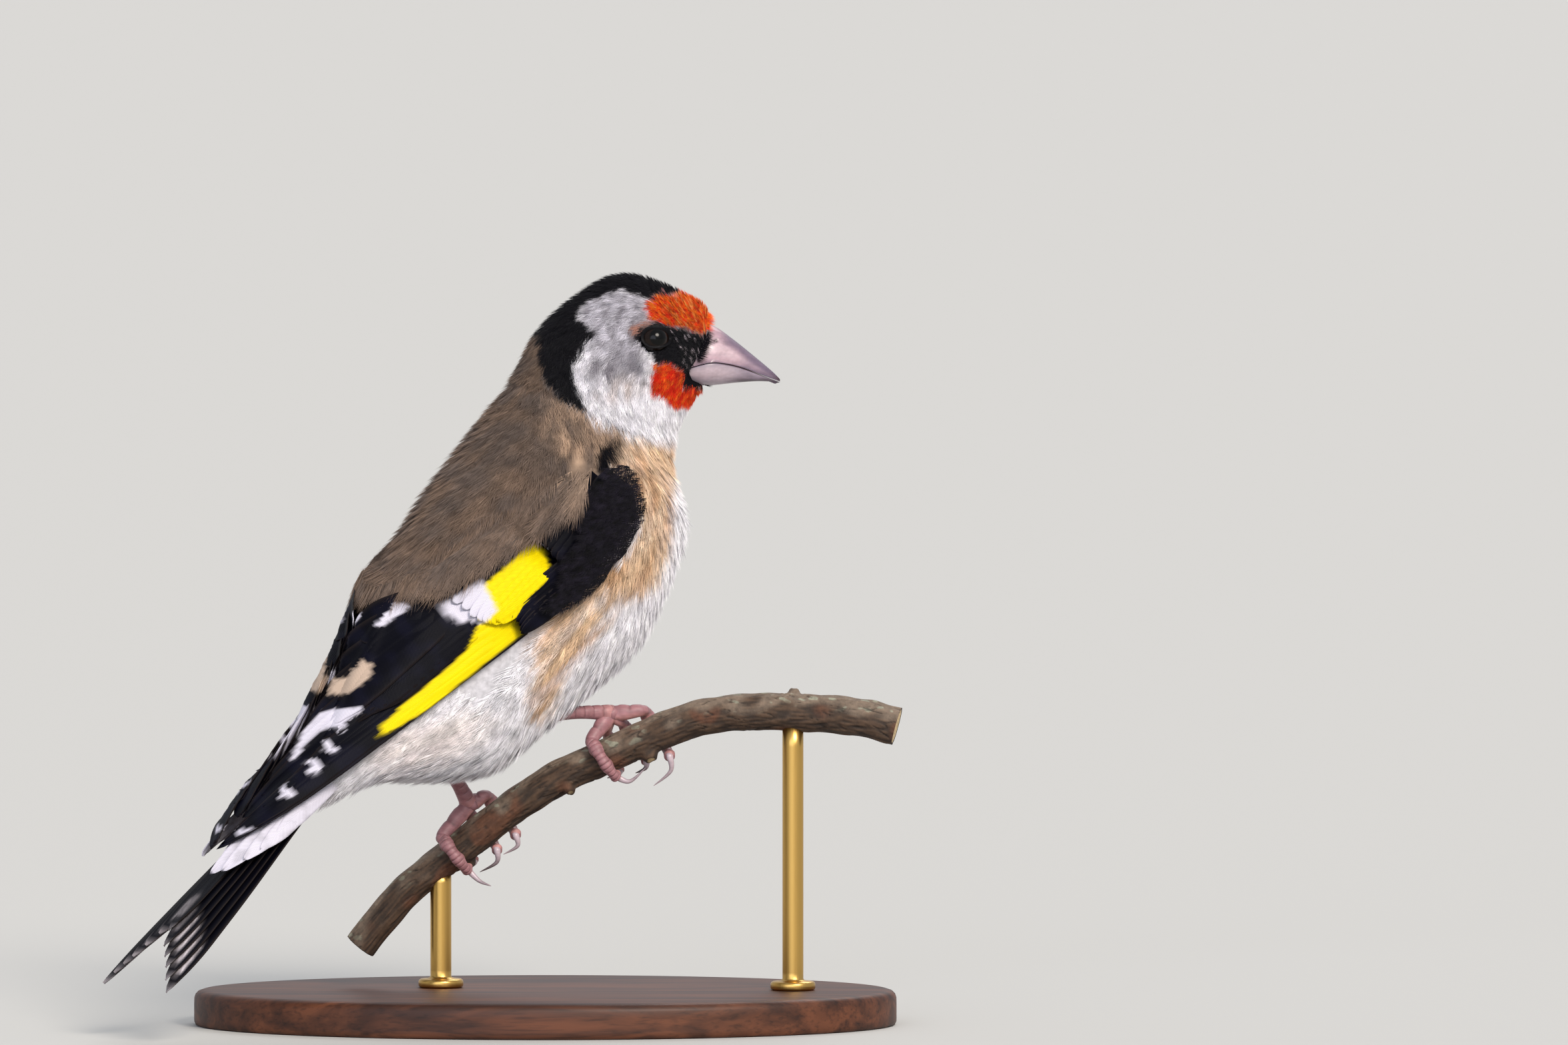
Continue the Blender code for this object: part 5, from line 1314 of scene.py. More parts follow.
def hornMaterial(name, rough, fine):
    # Keratin sheath: satin, slightly see-through at the edges, with faint growth streaks.
    material, tree, surface = newMaterial(name)
    dye = addNode(tree, "ShaderNodeVertexColor", {"layer_name": "plumage"})
    place = addNode(tree, "ShaderNodeTexCoord")
    streak = addNode(tree, "ShaderNodeMapping", {"Scale": (0.25, 1.0, 1.0)},
                     {"Vector": place.outputs["Object"]})
    noise = addNode(tree, "ShaderNodeTexNoise", {"Scale": 1 / (fine * mm), "Detail": 4.0},
                    {"Vector": streak.outputs["Vector"]})
    shade = addNode(tree, "ShaderNodeMapRange", {"To Min": 0.86, "To Max": 1.1, "From Min": 0.3,
                                                 "From Max": 0.7}, {"Value": noise.outputs["Fac"]})
    mixed = addNode(tree, "ShaderNodeVectorMath", {"operation": "SCALE"},
                    {0: dye.outputs["Color"], "Scale": shade.outputs["Result"]})
    tree.links.new(mixed.outputs["Vector"], surface.inputs["Base Color"])
    bump = addNode(tree, "ShaderNodeBump", {"Strength": 0.4, "Distance": 0.03 * mm},
                   {"Height": noise.outputs["Fac"]})
    tree.links.new(bump.outputs["Normal"], surface.inputs["Normal"])
    surface.inputs["Roughness"].default_value = rough
    surface.inputs["Subsurface Weight"].default_value = 0.12
    surface.inputs["Subsurface Radius"].default_value = (0.0008, 0.0004, 0.0003)
    surface.inputs["Subsurface Scale"].default_value = 1.0
    return material


def makeBill():
    # half widths read along the bill, with a rounded end; a ring climbs from the mouth line to
    # the culmen or gonys as sin(turn)^0.8. The nostril is pressed in by an ellipse's bell curve.
    material = hornMaterial("billHorn", 0.32, 0.5)
    share = np.linspace(0, 1, bill["stations"]) ** 0.92
    culmen, mouth, gonys = (along(bill[key], share) for key in ("culmen", "mouth", "gonys"))
    turn = np.linspace(0, math.pi, bill["around"])
    for name, edge, sign in (("bill_upper", culmen, 1), ("bill_lower", gonys, -1)):
        half = along(bill["halfWidths"], share) * (1 if sign > 0 else 0.93)
        half = half * np.sqrt(np.clip((1.004 - share) / 0.03, 0.02, 1))
        low = mouth + np.array([0, sign * bill["gap"] / 2]) * (1 - 0.35 * share[:, None])
        high = edge.copy()
        least = low[:, 1] + sign * 0.12
        high[:, 1] = np.where((edge[:, 1] - low[:, 1]) * sign < 0.12, least, edge[:, 1])
        rise = np.sin(turn) ** 0.8
        side = low[:, None] + (high - low)[:, None] * rise[None, :, None]
        outline = np.cos(turn) * (1 - 0.06 * np.sin(turn * 2) ** 2)
        width = -half[:, None] * outline
        away = np.hypot((side[..., 0] - bill["nostril"][0]) / bill["pit"][0],
                        (side[..., 1] - bill["nostril"][1]) / bill["pit"][1])
        pit = np.exp(-away ** 2 * 1.6) * (sign > 0)
        width = width - np.sign(width) * pit * bill["pit"][2]
        rows = np.stack([side[..., 0], width, side[..., 1]], -1)
        # the floor of the half is drawn up a little inside, so that a dark line parts the halves
        floor = rows[:, ::-1][:, 1:-1] * np.array([1, 1, 0]) + np.array([0, 0, 1]) * low[:, None, 1:]
        floor[..., 2] += sign * 0.22 * np.abs(np.sin(np.linspace(0, math.pi, floor.shape[1])))
        rows = np.concatenate([rows, floor], axis=1)
        points, faces = closed(rows)
        grow = np.append(np.repeat(share, rows.shape[1]), (0, 1))
        climb = np.tile(np.concatenate([rise, np.zeros(floor.shape[1])]), len(share))
        climb = np.append(climb, (0.5, 0.5))
        hole = np.concatenate([pit, np.zeros((len(share), floor.shape[1]))], axis=1).ravel()
        hole = np.append(hole, (0, 0))
        wave = 0.03 * ripple(points, 2.4, 41)
        colours = np.tile(linear(bill["ivory" if sign > 0 else "low"]), (len(points), 1))
        colours = blendTo(colours, bill["pale"], 0.6 * smoothStep((0.45 - np.abs(climb - 0.45)) / 0.4)
                          * smoothStep((0.75 - grow) / 0.4))
        if sign > 0:
            ridge = smoothStep((climb + 0.35 * grow - 0.62 + wave) / 0.4)
            colours = blendTo(colours, bill["grey"], 0.9 * ridge * smoothStep((grow - 0.2) / 0.2))
            # painted shade in the nostril's pit
            colours = blendTo(colours, bill["tip"], 0.85 * smoothStep(hole * 1.3))
        colours = blendTo(colours, bill["grey"], (0.85 if sign > 0 else 0.6)
                          * smoothStep((grow - 0.42 + wave) / 0.4))
        dark = smoothStep((grow - 0.74 + wave) / 0.24)
        if sign < 0:
            dark = np.maximum(dark, 0.8 * smoothStep((climb - 0.6) / 0.3)
                              * smoothStep((grow - 0.45) / 0.25))
        colours = blendTo(colours, bill["tip"], 0.85 * dark)
        colours = blendTo(colours, bill["grey"], 0.6 * smoothStep((0.12 - climb) / 0.12))
        colours = colours * (1 + 0.06 * ripple(points, 0.6, 42)[:, None])
        piece = putMesh("horn_" + name, points, faces, material, np.clip(colours, 0, 1))
        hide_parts(name)


def makeFaceFringe():
    # Short stiff feathers rooted round the bill's base and lying forward over it. Each is a
    # closed wedge from its root towards the bill's tip, lifted a little and turned at random.
    ring, angle = scatter(18.0, 19.93, 0.15)
    face = bodyPoint(ring, np.abs(angle))[..., [0, 2]]
    edge = inside(face, markings["bareBill"], 1.5)
    keep = ((edge < 0.6) & (edge > 0.04)) | ((ring > 19.45) & (edge < 0.6))
    ring, angle = ring[keep], angle[keep]
    count = len(ring)
    normal, down = bodyFrame(ring, angle)[:2]
    root = flesh(ring, angle, -0.35)
    tip = np.array([bill["culmen"][-1][0], 0.0, bill["culmen"][-1][1]])
    way = unit(unit(tip - root) + normal * chance.uniform(0.05, 0.4, (count, 1))
               + chance.normal(0, 0.13, (count, 3)))
    long = chance.uniform(0.7, 1.5, (count, 1)) * np.where(ring > 19.45, 0.9, 1.0)[:, None]
    end = root + way * long
    flat = unit(np.cross(way, normal)) * 0.04
    ridge = unit(np.cross(flat, way)) * 0.03
    points = np.stack([root + flat, root - flat, root + ridge, end], axis=1)
    tone = coatColours(ring, angle) * (1 + chance.normal(0, 0.12, (count, 1)))
    # painted shade towards each bristle's root, a little painted light at its tip
    tone = tone[:, None] * np.array([0.6, 0.6, 0.8, 1.1])[None, :, None]
    material = plumageMaterial("faceBristles", 1.0, 0.6, 0.0, 0.1, 0.03)
    places = bakePlaces(ring, angle, 1)
    piece = putMesh("face_fringe", points.reshape(-1, 3), coatFaces(count), material,
                    np.clip(tone.reshape(-1, 3), 0, 1), places, smooth=False)
    print("face_fringe", count, "bristles")


makeBill()
makeFaceFringe()
print("bill made")

# Eyes: near black with a brown iris that shows only in strong light, in a rim of dark lids.
eyes = {
    "radius": 2.15,
    "pupil": 0.62,
    "iris": "#160c08",
    "black": "#020202",
    "rim": (1.93, 1.38),
    "lidThick": 0.24,
    "lidColour": "#0b0a0d",
    "lidStations": 96,
    "lidAround": 14,
}


def eyeMaterial():
    # Wet cornea over a dark iris: hard, clear gloss over the dyed ball.
    material, tree, surface = newMaterial("wetCornea")
    dye = addNode(tree, "ShaderNodeVertexColor", {"layer_name": "plumage"})
    tree.links.new(dye.outputs["Color"], surface.inputs["Base Color"])
    surface.inputs["Roughness"].default_value = 0.2
    surface.inputs["Specular IOR Level"].default_value = 0.1
    surface.inputs["Coat Weight"].default_value = 0.35
    surface.inputs["Coat Roughness"].default_value = 0.09
    surface.inputs["Coat IOR"].default_value = 1.36
    return material


def makeEyes():
    # The ball is a sphere whose pole faces out, drawn up by 0.1 over the cornea. A lid is a
    # tube round an oval on the ball, thicker above than below, with fine radial wrinkles.
    material = eyeMaterial()
    lidMaterial = plumageMaterial("lidSkin", 0.4, 0.5, 0.0, 0.12, 0.06)
    for side, hand in (("right", 1), ("left", -1)):
        centre = eye[side]
        place = np.array([0.0, -hand, 0.0])
        grid = np.stack(np.meshgrid(np.linspace(13, 18, 120), np.radians(np.linspace(20, 110, 120)),
                                    indexing="ij"), -1)
        spots = bodyPoint(grid[..., 0], grid[..., 1] * hand)
        best = np.unravel_index(np.argmin(np.linalg.norm(spots - centre, axis=-1)), spots.shape[:2])
        away = bodyFrame(grid[best][0], grid[best][1] * hand)[0]
        away = away * np.sign(away @ place)
        level = unit(np.cross(away, (0, 0, 1)))
        level = level * np.sign(level[0])
        upright = np.cross(level, away)
        upright = upright * np.sign(upright[2])
        polar = np.linspace(0.02, math.pi - 0.02, 60)
        turns = np.linspace(0, 2 * math.pi, 97)[:-1]
        radius = eyes["radius"] - 0.02 + 0.1 * smoothStep((0.9 - polar) / 0.7)
        ball = centre + (np.cos(polar)[:, None, None] * away
                         + np.sin(polar)[:, None, None] * (np.cos(turns)[:, None] * level
                                                           + np.sin(turns)[:, None] * upright)) \
            * radius[:, None, None]
        points, faces = closed(ball)
        ring = np.append(np.repeat(polar, len(turns)), [0, math.pi])
        colours = np.tile(linear(eyes["iris"]), (len(points), 1))
        colours = blendTo(colours, eyes["black"], smoothStep((eyes["pupil"] - ring) / 0.08))
        colours = blendTo(colours, eyes["black"], smoothStep((ring - 0.95) / 0.1))
        piece = putMesh("ball_eye_" + side, points, faces, material, colours)
        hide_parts("eye_" + side)
        around = np.linspace(0, 2 * math.pi, eyes["lidStations"] + 1)[:-1]
        wide = eyes["rim"][0] * np.cos(around) * (1 + 0.06 * (np.cos(around) > 0))
        high = eyes["rim"][1] * np.sin(around) * (1 - 0.1 * np.cos(around))
        flat = np.sqrt(np.maximum(eyes["radius"] ** 2 - wide ** 2 - high ** 2, 0)) + 0.06
        line = centre + wide[:, None] * level + high[:, None] * upright + flat[:, None] * away
        out = unit(wide[:, None] * level + high[:, None] * upright)
        lift = unit(line - centre)
        thick = eyes["lidThick"] * (1 + 0.25 * np.sin(around)) \
            * (1 + 0.07 * np.sin(around * 31) + 0.05 * np.sin(around * 17 + 1))
        turn = np.arange(eyes["lidAround"]) * 2 * math.pi / eyes["lidAround"]
        rows = (line[:, None] + thick[:, None, None]
                * (np.cos(turn)[None, :, None] * lift[:, None] * 0.8
                   + np.sin(turn)[None, :, None] * out[:, None] * 1.3))
        count = rows.shape[0]
        quads = gridFaces(count + 1, rows.shape[1], True) % (count * rows.shape[1])
        points = rows.reshape(-1, 3)
        faces = outward(points, split(quads))
        colours = np.tile(linear(eyes["lidColour"]), (len(points), 1))
        colours = colours * (1 + 0.25 * ripple(points, 0.5, 43)[:, None])
        piece = putMesh("lids_" + side, points, faces, lidMaterial, np.clip(colours, 0, 1))


makeEyes()
print("eyes made")

# Branch: cut length of a gnarled twig, with bark cracks, knots, and pale cut ends.
branch = {
    "line": ((-28.5, 10.8), (-22.8, 17.8), (-18.1, 21.9), (-13.3, 25.6), (-8.6, 29.4), (-3.8, 32.7),
             (0.9, 35.6), (5.7, 37.7), (10.4, 39.9), (15.2, 42), (19.9, 43.7), (24.7, 44.4),
             (29.4, 44.6), (34.2, 44.5), (39, 44.3), (43.7, 43.7), (48, 42.6)),
    "depth": -4.8,
    "turn": 6,
    "radii": (2.45, 2.9),
    "knots": ((0.17, 200, 1.5), (0.37, 150, 1.2), (0.52, 160, 1.6), (0.80, -20, 1.3)),
    "stations": 620,
    "around": 112,
    "dark": "#1f1610",
    "brown": "#483526",
    # painted highlight on the twig's top
    "top": "#7a6a5b",
    "red": "#5e3824",
    "lichen": "#9aa08c",
    "wood": "#cdb48a",
    "woodRing": "#a5885c",
}
row = np.array(branch["line"])
slant = math.tan(math.radians(branch["turn"]))
branch["points"] = np.stack([row[:, 0], branch["depth"] - (row[:, 0] - row[:, 0].mean()) * slant,
                             row[:, 1]], axis=1)


def branchPoint(share, turn, lift, inward=1.0):
    # point over the bark: turn 0 is the top, and +90 degrees the bird's right side
    share, turn = np.broadcast_arrays(np.asarray(share, float), np.asarray(turn, float))
    way = unit(along(branch["points"], share + 0.01) - along(branch["points"], share - 0.01))
    near = unit(np.cross(way, (0, 0, 1)))
    upward = np.cross(near, way)
    reach = (branch["radii"][0] + (branch["radii"][1] - branch["radii"][0]) * share + lift) * inward
    return along(branch["points"], share) + (upward * np.cos(turn)[..., None]
                                             + near * np.sin(turn)[..., None]) * reach[..., None]


def shareAt(x):
    # share of the branch's length at which its middle line passes over x
    shares = np.linspace(0, 1, 1000)
    return shares[np.argmin(np.abs(along(branch["points"], shares)[:, 0] - x))]


def barkMaterial():
    # Weathered thin bark of a living twig: rough, dyed per point, with one fine noise for tone and bump.
    material, tree, surface = newMaterial("twigBark")
    dye = addNode(tree, "ShaderNodeVertexColor", {"layer_name": "plumage"})
    place = addNode(tree, "ShaderNodeTexCoord")
    coarse = addNode(tree, "ShaderNodeTexNoise", {"Scale": 1 / (0.9 * mm), "Detail": 8.0,
                                                  "Roughness": 0.65},
                     {"Vector": place.outputs["Object"]})
    shade = addNode(tree, "ShaderNodeMapRange", {"To Min": 0.6, "To Max": 1.35, "From Min": 0.3,
                                                 "From Max": 0.7}, {"Value": coarse.outputs["Fac"]})
    mixed = addNode(tree, "ShaderNodeVectorMath", {"operation": "SCALE"},
                    {0: dye.outputs["Color"], "Scale": shade.outputs["Result"]})
    tree.links.new(mixed.outputs["Vector"], surface.inputs["Base Color"])
    bump = addNode(tree, "ShaderNodeBump", {"Strength": 0.8, "Distance": 0.12 * mm},
                   {"Height": coarse.outputs["Fac"]})
    tree.links.new(bump.outputs["Normal"], surface.inputs["Normal"])
    surface.inputs["Roughness"].default_value = 0.82
    return material


def makeBranch():
    # Bark height is pressed in from the solid's surface: long ridges from noise stretched five
    # times along the twig, deep narrow cracks where a second noise passes zero, rings at the
    # knots, and a rise of a bell curve over each knot.
    share = np.linspace(0, 1, branch["stations"])[:, None]
    turn = (np.arange(branch["around"]) * 2 * math.pi / branch["around"])[None]
    smooth = branchPoint(share, turn, 0.0)
    length = 95.0
    flat = np.stack([np.broadcast_to(share * length / 5, smooth.shape[:2]),
                     np.broadcast_to(np.cos(turn) * 2.7, smooth.shape[:2]),
                     np.broadcast_to(np.sin(turn) * 2.7, smooth.shape[:2])], -1)
    long = flat * np.array([1.0, 1, 1])
    ridges = ripple(long, 0.8, 51, 16)
    cracks = np.exp(-(ripple(flat, 1.5, 52, 16) / 0.09) ** 2)
    broken = smoothStep(ripple(flat * np.array([5, 1, 1]), 2.4, 53) + 0.6)
    lumps = ripple(smooth, 5.0, 54)
    lift = -0.16 + 0.07 * ridges - 0.17 * cracks * broken + 0.06 * lumps
    knot = np.zeros(smooth.shape[:2])
    pith = np.zeros(smooth.shape[:2])
    for at, degrees, size in branch["knots"]:
        beside = (turn - math.radians(degrees) + math.pi) % (2 * math.pi) - math.pi
        away = np.hypot((share - at) * length, beside * 2.7) / size
        knot = np.maximum(knot, 0.62 * size * smoothStep((1.15 - away) / 0.75))
        pith = np.maximum(pith, smoothStep((0.42 - away) / 0.1))
        lift = lift + 0.05 * np.cos(away * 11) * smoothStep((2.4 - away) / 1.2)
    lift = np.minimum(lift, 0.0) + knot - 0.12 * pith
    rows = branchPoint(share, turn, lift)
    points = rows
    colours = np.tile(linear(branch["brown"]), points.shape[:2] + (1,))
    colours = blendTo(colours, branch["dark"], smoothStep(0.5 - 0.8 * ridges) * 0.7)
    # painted highlight: the twig's top, and its lumps, lighter where light falls from above
    above = smoothStep((np.cos(turn) - 0.1 + 0 * share + 0.4 * lumps) / 0.8)
    colours = blendTo(colours, branch["top"], 0.75 * above)
    patches = smoothStep((ripple(smooth, 7.0, 55) - 0.35) / 0.4) * smoothStep(1 - above)
    colours = blendTo(colours, branch["red"], 0.6 * patches)
    spots = smoothStep((ripple(smooth, 1.3, 56, 14) - 0.75) / 0.25) * above
    colours = blendTo(colours, branch["lichen"], 0.5 * spots)
    colours = blendTo(colours, branch["dark"], 0.85 * np.clip(cracks * broken, 0, 1))
    colours = blendTo(colours, branch["wood"], 0.7 * pith)
    ends = []
    for end, spin in ((0, -1), (1, 1)):
        inner = np.linspace(0.06, 0.985, 26)[::-spin if spin < 0 else -1]
        inner = np.sort(inner)[::-1] if end else np.sort(inner)
        where = share[0 if end == 0 else -1]
        grain = 0.012 * np.sin(inner * 40)
        disc = branchPoint(np.full((len(inner), 1), float(where[0])), turn,
                           lift[0 if end == 0 else -1][None], inner[:, None])
        way = branch["points"][1] - branch["points"][0] if end == 0 else \
            branch["points"][-1] - branch["points"][-2]
        disc = disc - unit(way) * (spin * (0.06 + grain))[:, None, None]
        tone = np.tile(linear(branch["wood"]), disc.shape[:2] + (1,))
        rings = smoothStep(0.5 + 0.9 * np.sin(inner * 34))[:, None] + 0 * turn
        tone = blendTo(tone, branch["woodRing"], 0.6 * rings)
        tone = blendTo(tone, branch["dark"], smoothStep((inner - 0.86) / 0.06)[:, None] + 0 * turn)
        ends.append((disc, tone))
    rows = np.concatenate([ends[0][0], rows, ends[1][0]])
    colours = np.concatenate([ends[0][1], colours, ends[1][1]])
    points, faces = closed(rows)
    tones = np.concatenate([colours.reshape(-1, 3), colours[0, :1], colours[-1, :1]])
    piece = putMesh("bark_perch", points, faces, barkMaterial(), np.clip(tones, 0, 1))
    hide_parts("perch")


makeBranch()
print("branch made")

# Legs: scaled shank, toes with pads round the twig, and curved claws.
leg = {
    "hips": {"right": (-4.5, -10.5, 43.6), "left": (-17.2, -8.5, 38.5)},
    "feet": {"right": (7.3, 44.3), "left": (-12.9, 31.2)},
    "swells": {"right": (1.3, 1.15, 1.0, 0.95, 0.95, 1.05, 1.2),
               "left": (1.55, 1.4, 1.2, 1.05, 1.0, 1.1, 1.25)},
    "radius": 1.05,
    "bow": 0.5,
    "toeRadius": 0.98,
    "claw": 0.6,
    # claws, in mm from the end of each toe: bend and tip in the side view, and the tip's y
    "claws": {
        "right": ((1.9, -0.6, 4.1, 1.3, -0.3), (-0.2, -0.9, -1.6, -1.6, 0.4),
                  (0.1, -2.1, -2.3, -4.2, 0.3), (-0.4, -0.5, -1.8, -0.9, -0.3)),
        "left": ((1.6, -1.5, 3.3, -2.2, -1.0), (-0.1, -1.7, -2.5, -3.1, 0.3),
                 (0.2, -1.5, -1.8, -2.7, 0.2), (-0.4, -0.5, -1.6, -0.9, -0.3)),
    },
    "toes": {
        "right": (((6, 145.7), (7, 145.7), 38, 150, 1.0),
                  ((10, 145.7), (10.9, 145.7), -12, -150, 0.85),
                  ((13.1, 145.7), (14.2, 145.7), -2, -172, 0.95),
                  ((7.8, 145.7), (7.1, 145.7), -30, -140, 0.85)),
        "left": (((-14.8, 145.7), (-14.8, 145.7), 38, 152, 1.0),
                 ((-11.2, 145.7), (-11.2, 145.7), -12, -172, 0.9),
                 ((-8.6, 145.7), (-8.4, 145.7), -8, -165, 0.95),
                 ((-13.3, 145.7), (-14.1, 145.7), -30, -140, 0.85)),
    },
    "skin": "#94686c",
    "shade": "#6a4448",
    "pink": "#c98f88",
    "clawPale": "#b8a6ad",
    "clawDark": "#3a2c2c",
}


def facedTube(path, upward, radius):
    # Rings of a tube, radius given per station and per turn; turn 0 lies towards upward
    way = unit(np.gradient(path, axis=0))
    across = unit(np.cross(way, upward))
    upward = np.cross(across, way)
    turn = np.arange(radius.shape[1]) * 2 * math.pi / radius.shape[1]
    return path[:, None] + (np.cos(turn)[None, :, None] * upward[:, None]
                            + np.sin(turn)[None, :, None] * across[:, None]) * radius[..., None]


def scutes(share, count, turn, deep):
    # overlapping plates: each falls off as a saw tooth along the tube, strongest at turn 0
    saw = (share * count) % 1.0
    plate = 1 - deep * smoothStep((saw - 0.72) / 0.28) + deep * 0.4 * np.sin(saw * math.pi)
    front = smoothStep((np.cos(turn) + 0.15) / 0.7)
    return 1 + (plate[:, None] - 1) * front[None]


def makeLegs():
    skinMaterial = hornMaterial("scalyLegSkin", 0.5, 0.3)
    clawMaterial = hornMaterial("clawHorn", 0.3, 0.4)
    turn = np.arange(40) * 2 * math.pi / 40
    for side in ("right", "left"):
        footSide = leg["feet"][side]
        spot = along(branch["points"], shareAt(footSide[0]))
        centre = np.array([footSide[0], spot[1], footSide[1]])
        hip = np.array(leg["hips"][side])
        share = np.linspace(0, 1, 150)
        path = hip + (centre - hip) * share[:, None] \
            + np.array([0, 0, leg["bow"]]) * np.sin(math.pi * share)[:, None]
        radius = along(leg["swells"][side], share)[:, None] * leg["radius"]
        radius = radius * scutes(share, 9, turn, 0.1) * (1 - 0.08 * np.abs(np.sin(turn)))
        forward = np.tile(np.array([0.75, -0.5, 0.4]), (len(share), 1))
        rows = facedTube(path, forward, radius)
        points, faces = closed(rows)
        saw = (share * 9) % 1.0
        gap = smoothStep((saw - 0.8) / 0.2)[:, None] * smoothStep((np.cos(turn) + 0.15) / 0.7)
        colours = np.tile(linear(leg["skin"]), rows.shape[:2] + (1,))
        colours = blendTo(colours, leg["shade"], 0.7 * gap)
        colours = blendTo(colours, leg["pink"], 0.5 * smoothStep((share - 0.8) / 0.2)[:, None]
                          + 0 * turn)
        colours = blendTo(colours, leg["shade"], 0.3 * smoothStep(ripple(rows, 1.6, 61)))
        tones = np.concatenate([colours.reshape(-1, 3), colours[0, :1], colours[-1, :1]])
        piece = putMesh("shank_" + side, points, faces, skinMaterial, np.clip(tones, 0, 1))
        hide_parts("leg_" + side)
        # foot joint: a lumpy ball where the toes meet
        polar = np.linspace(0.04, math.pi - 0.04, 36)
        rows = np.stack([centre[0] + 1.45 * np.sin(polar)[:, None] * np.cos(turn),
                         centre[1] + 1.3 * np.cos(polar)[:, None] + 0 * turn,
                         centre[2] + 1.15 * np.sin(polar)[:, None] * np.sin(turn)], -1)
        rows = centre + (rows - centre) * (1 + 0.05 * ripple(rows, 0.8, 62)[..., None])
        sets = [(*closed(rows), None, rows.shape[:2])]
        claws = []
        for number, toe in enumerate(leg["toes"][side]):
            (first, _), (last, _), start, stop, size = toe
            size = size * leg["toeRadius"]
            near, far = shareAt(first), shareAt(last)
            start, stop = math.radians(start), math.radians(stop)
            part = np.linspace(0, 1, 9)
            bark = 0.17 + size
            hold = branchPoint(near + (far - near) * part, start + (stop - start) * part, bark)
            path = along(np.concatenate([[centre], hold]), np.linspace(0, 1, 110))
            for turnNumber in range(30):
                path[1:-1] = (path[:-2] + 2 * path[1:-1] + path[2:]) / 4
            shares = np.linspace(0, 1, 110)
            core = along(branch["points"], [shareAt(x) for x in path[:, 0]])
            upward = unit(path - core)
            plates = scutes(shares, 13, turn, 0.13)
            joints = np.cos(shares * 6 * math.pi)
            pads = 1 + 0.2 * joints[:, None] * smoothStep(-np.cos(turn) / 0.8)[None]
            radius = size * (1.08 - 0.25 * shares)[:, None] * (1 + 0.09 * joints[:, None]) \
                * plates * pads * (1 - 0.06 * np.abs(np.sin(turn)))
            radius[:4] *= 0.9
            radius[-5:] *= np.sqrt(np.linspace(1, 0.25, 5))[:, None]
            rows = facedTube(path, upward, radius)
            sets.append((*closed(rows), shares, rows.shape[:2]))
            bendX, bendZ, tipX, tipZ, aside = leg["claws"][side][number]
            past = np.linspace(0, 1, 50)
            steps = np.array([path[-9] - path[-1], (0, 0, 0), (bendX, aside * 0.4, bendZ),
                              (tipX, aside, tipZ)])
            path = along(path[-1] + steps, past)
            line = unit(path[-1] - path[0])
            radius = leg["claw"] * (1.12 - 1.07 * past ** 1.25)[:, None] \
                * (1 - 0.25 * np.abs(np.sin(turn[::2])))[None]
            rows = facedTube(path, np.tile(np.cross(line, (0, 1, 0)), (len(path), 1)), radius)
            claws.append((*closed(rows), past, rows.shape[:2], number))
        points, faces, tones = [], [], []
        base = 0
        for pts, tris, shares, shape in sets:
            tone = np.tile(linear(leg["skin"]), (len(pts), 1))
            if shares is not None:
                saw = (shares * 13) % 1.0
                gap = smoothStep((saw - 0.78) / 0.22)[:, None] \
                    * smoothStep((np.cos(turn) + 0.15) / 0.7)
                under = smoothStep(-np.cos(turn))[None] + 0 * gap
                two = blendTo(np.tile(linear(leg["skin"]), shape + (1,)), leg["pink"], 0.6 * under)
                two = blendTo(two, leg["shade"], 0.75 * gap)
                tone = np.concatenate([two.reshape(-1, 3), two[0, :1], two[-1, :1]])
            tone = tone * (1 + 0.12 * ripple(pts, 0.9, 63)[:, None])
            points.append(pts)
            faces.append(tris + base)
            tones.append(tone)
            base += len(pts)
        piece = putMesh("toes_foot_" + side, np.concatenate(points), np.concatenate(faces),
                        skinMaterial, np.clip(np.concatenate(tones), 0, 1))
        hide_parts("foot_" + side)
        points, faces, tones = [], [], []
        base = 0
        for pts, tris, past, shape, number in claws:
            tone = np.tile(linear(leg["clawPale"]), shape + (1,))
            tone = blendTo(tone, leg["clawDark"], (smoothStep((past - 0.35) / 0.5)[:, None]
                                                   * (0.95 if number % 2 else 0.5)) + 0 * turn[::2])
            points.append(pts)
            faces.append(tris + base)
            tones.append(np.concatenate([tone.reshape(-1, 3), tone[0, :1], tone[-1, :1]]))
            base += len(pts)
        piece = putMesh("claws_foot_" + side, np.concatenate(points), np.concatenate(faces),
                        clawMaterial, np.clip(np.concatenate(tones), 0, 1))


makeLegs()
print("legs made")

# Stand: turned oval base of stained hardwood, and two brass rods with collars.
stand = {
    "half": (50.0, 31.0),
    "profile": ((0.62, 0.0), (0.2, 0.12), (0.02, 0.5), (0.0, 1.0), (0.0, 3.0), (0.03, 3.9),
                (0.2, 4.4), (0.55, 4.75), (1.2, 4.96), (2.2, 5.0)),
    "rods": {"stand_rod_low": 0.14, "stand_rod_high": 0.80},
    "rod": 1.5,
    "collar": ((0.0, 2.9), (0.12, 3.12), (0.3, 3.2), (0.85, 3.2), (1.05, 3.12), (1.2, 2.9),
               (1.26, 2.2), (1.4, 1.62), (1.62, 1.5)),
    "light": "#5f3621",
    "dark": "#331a0f",
}


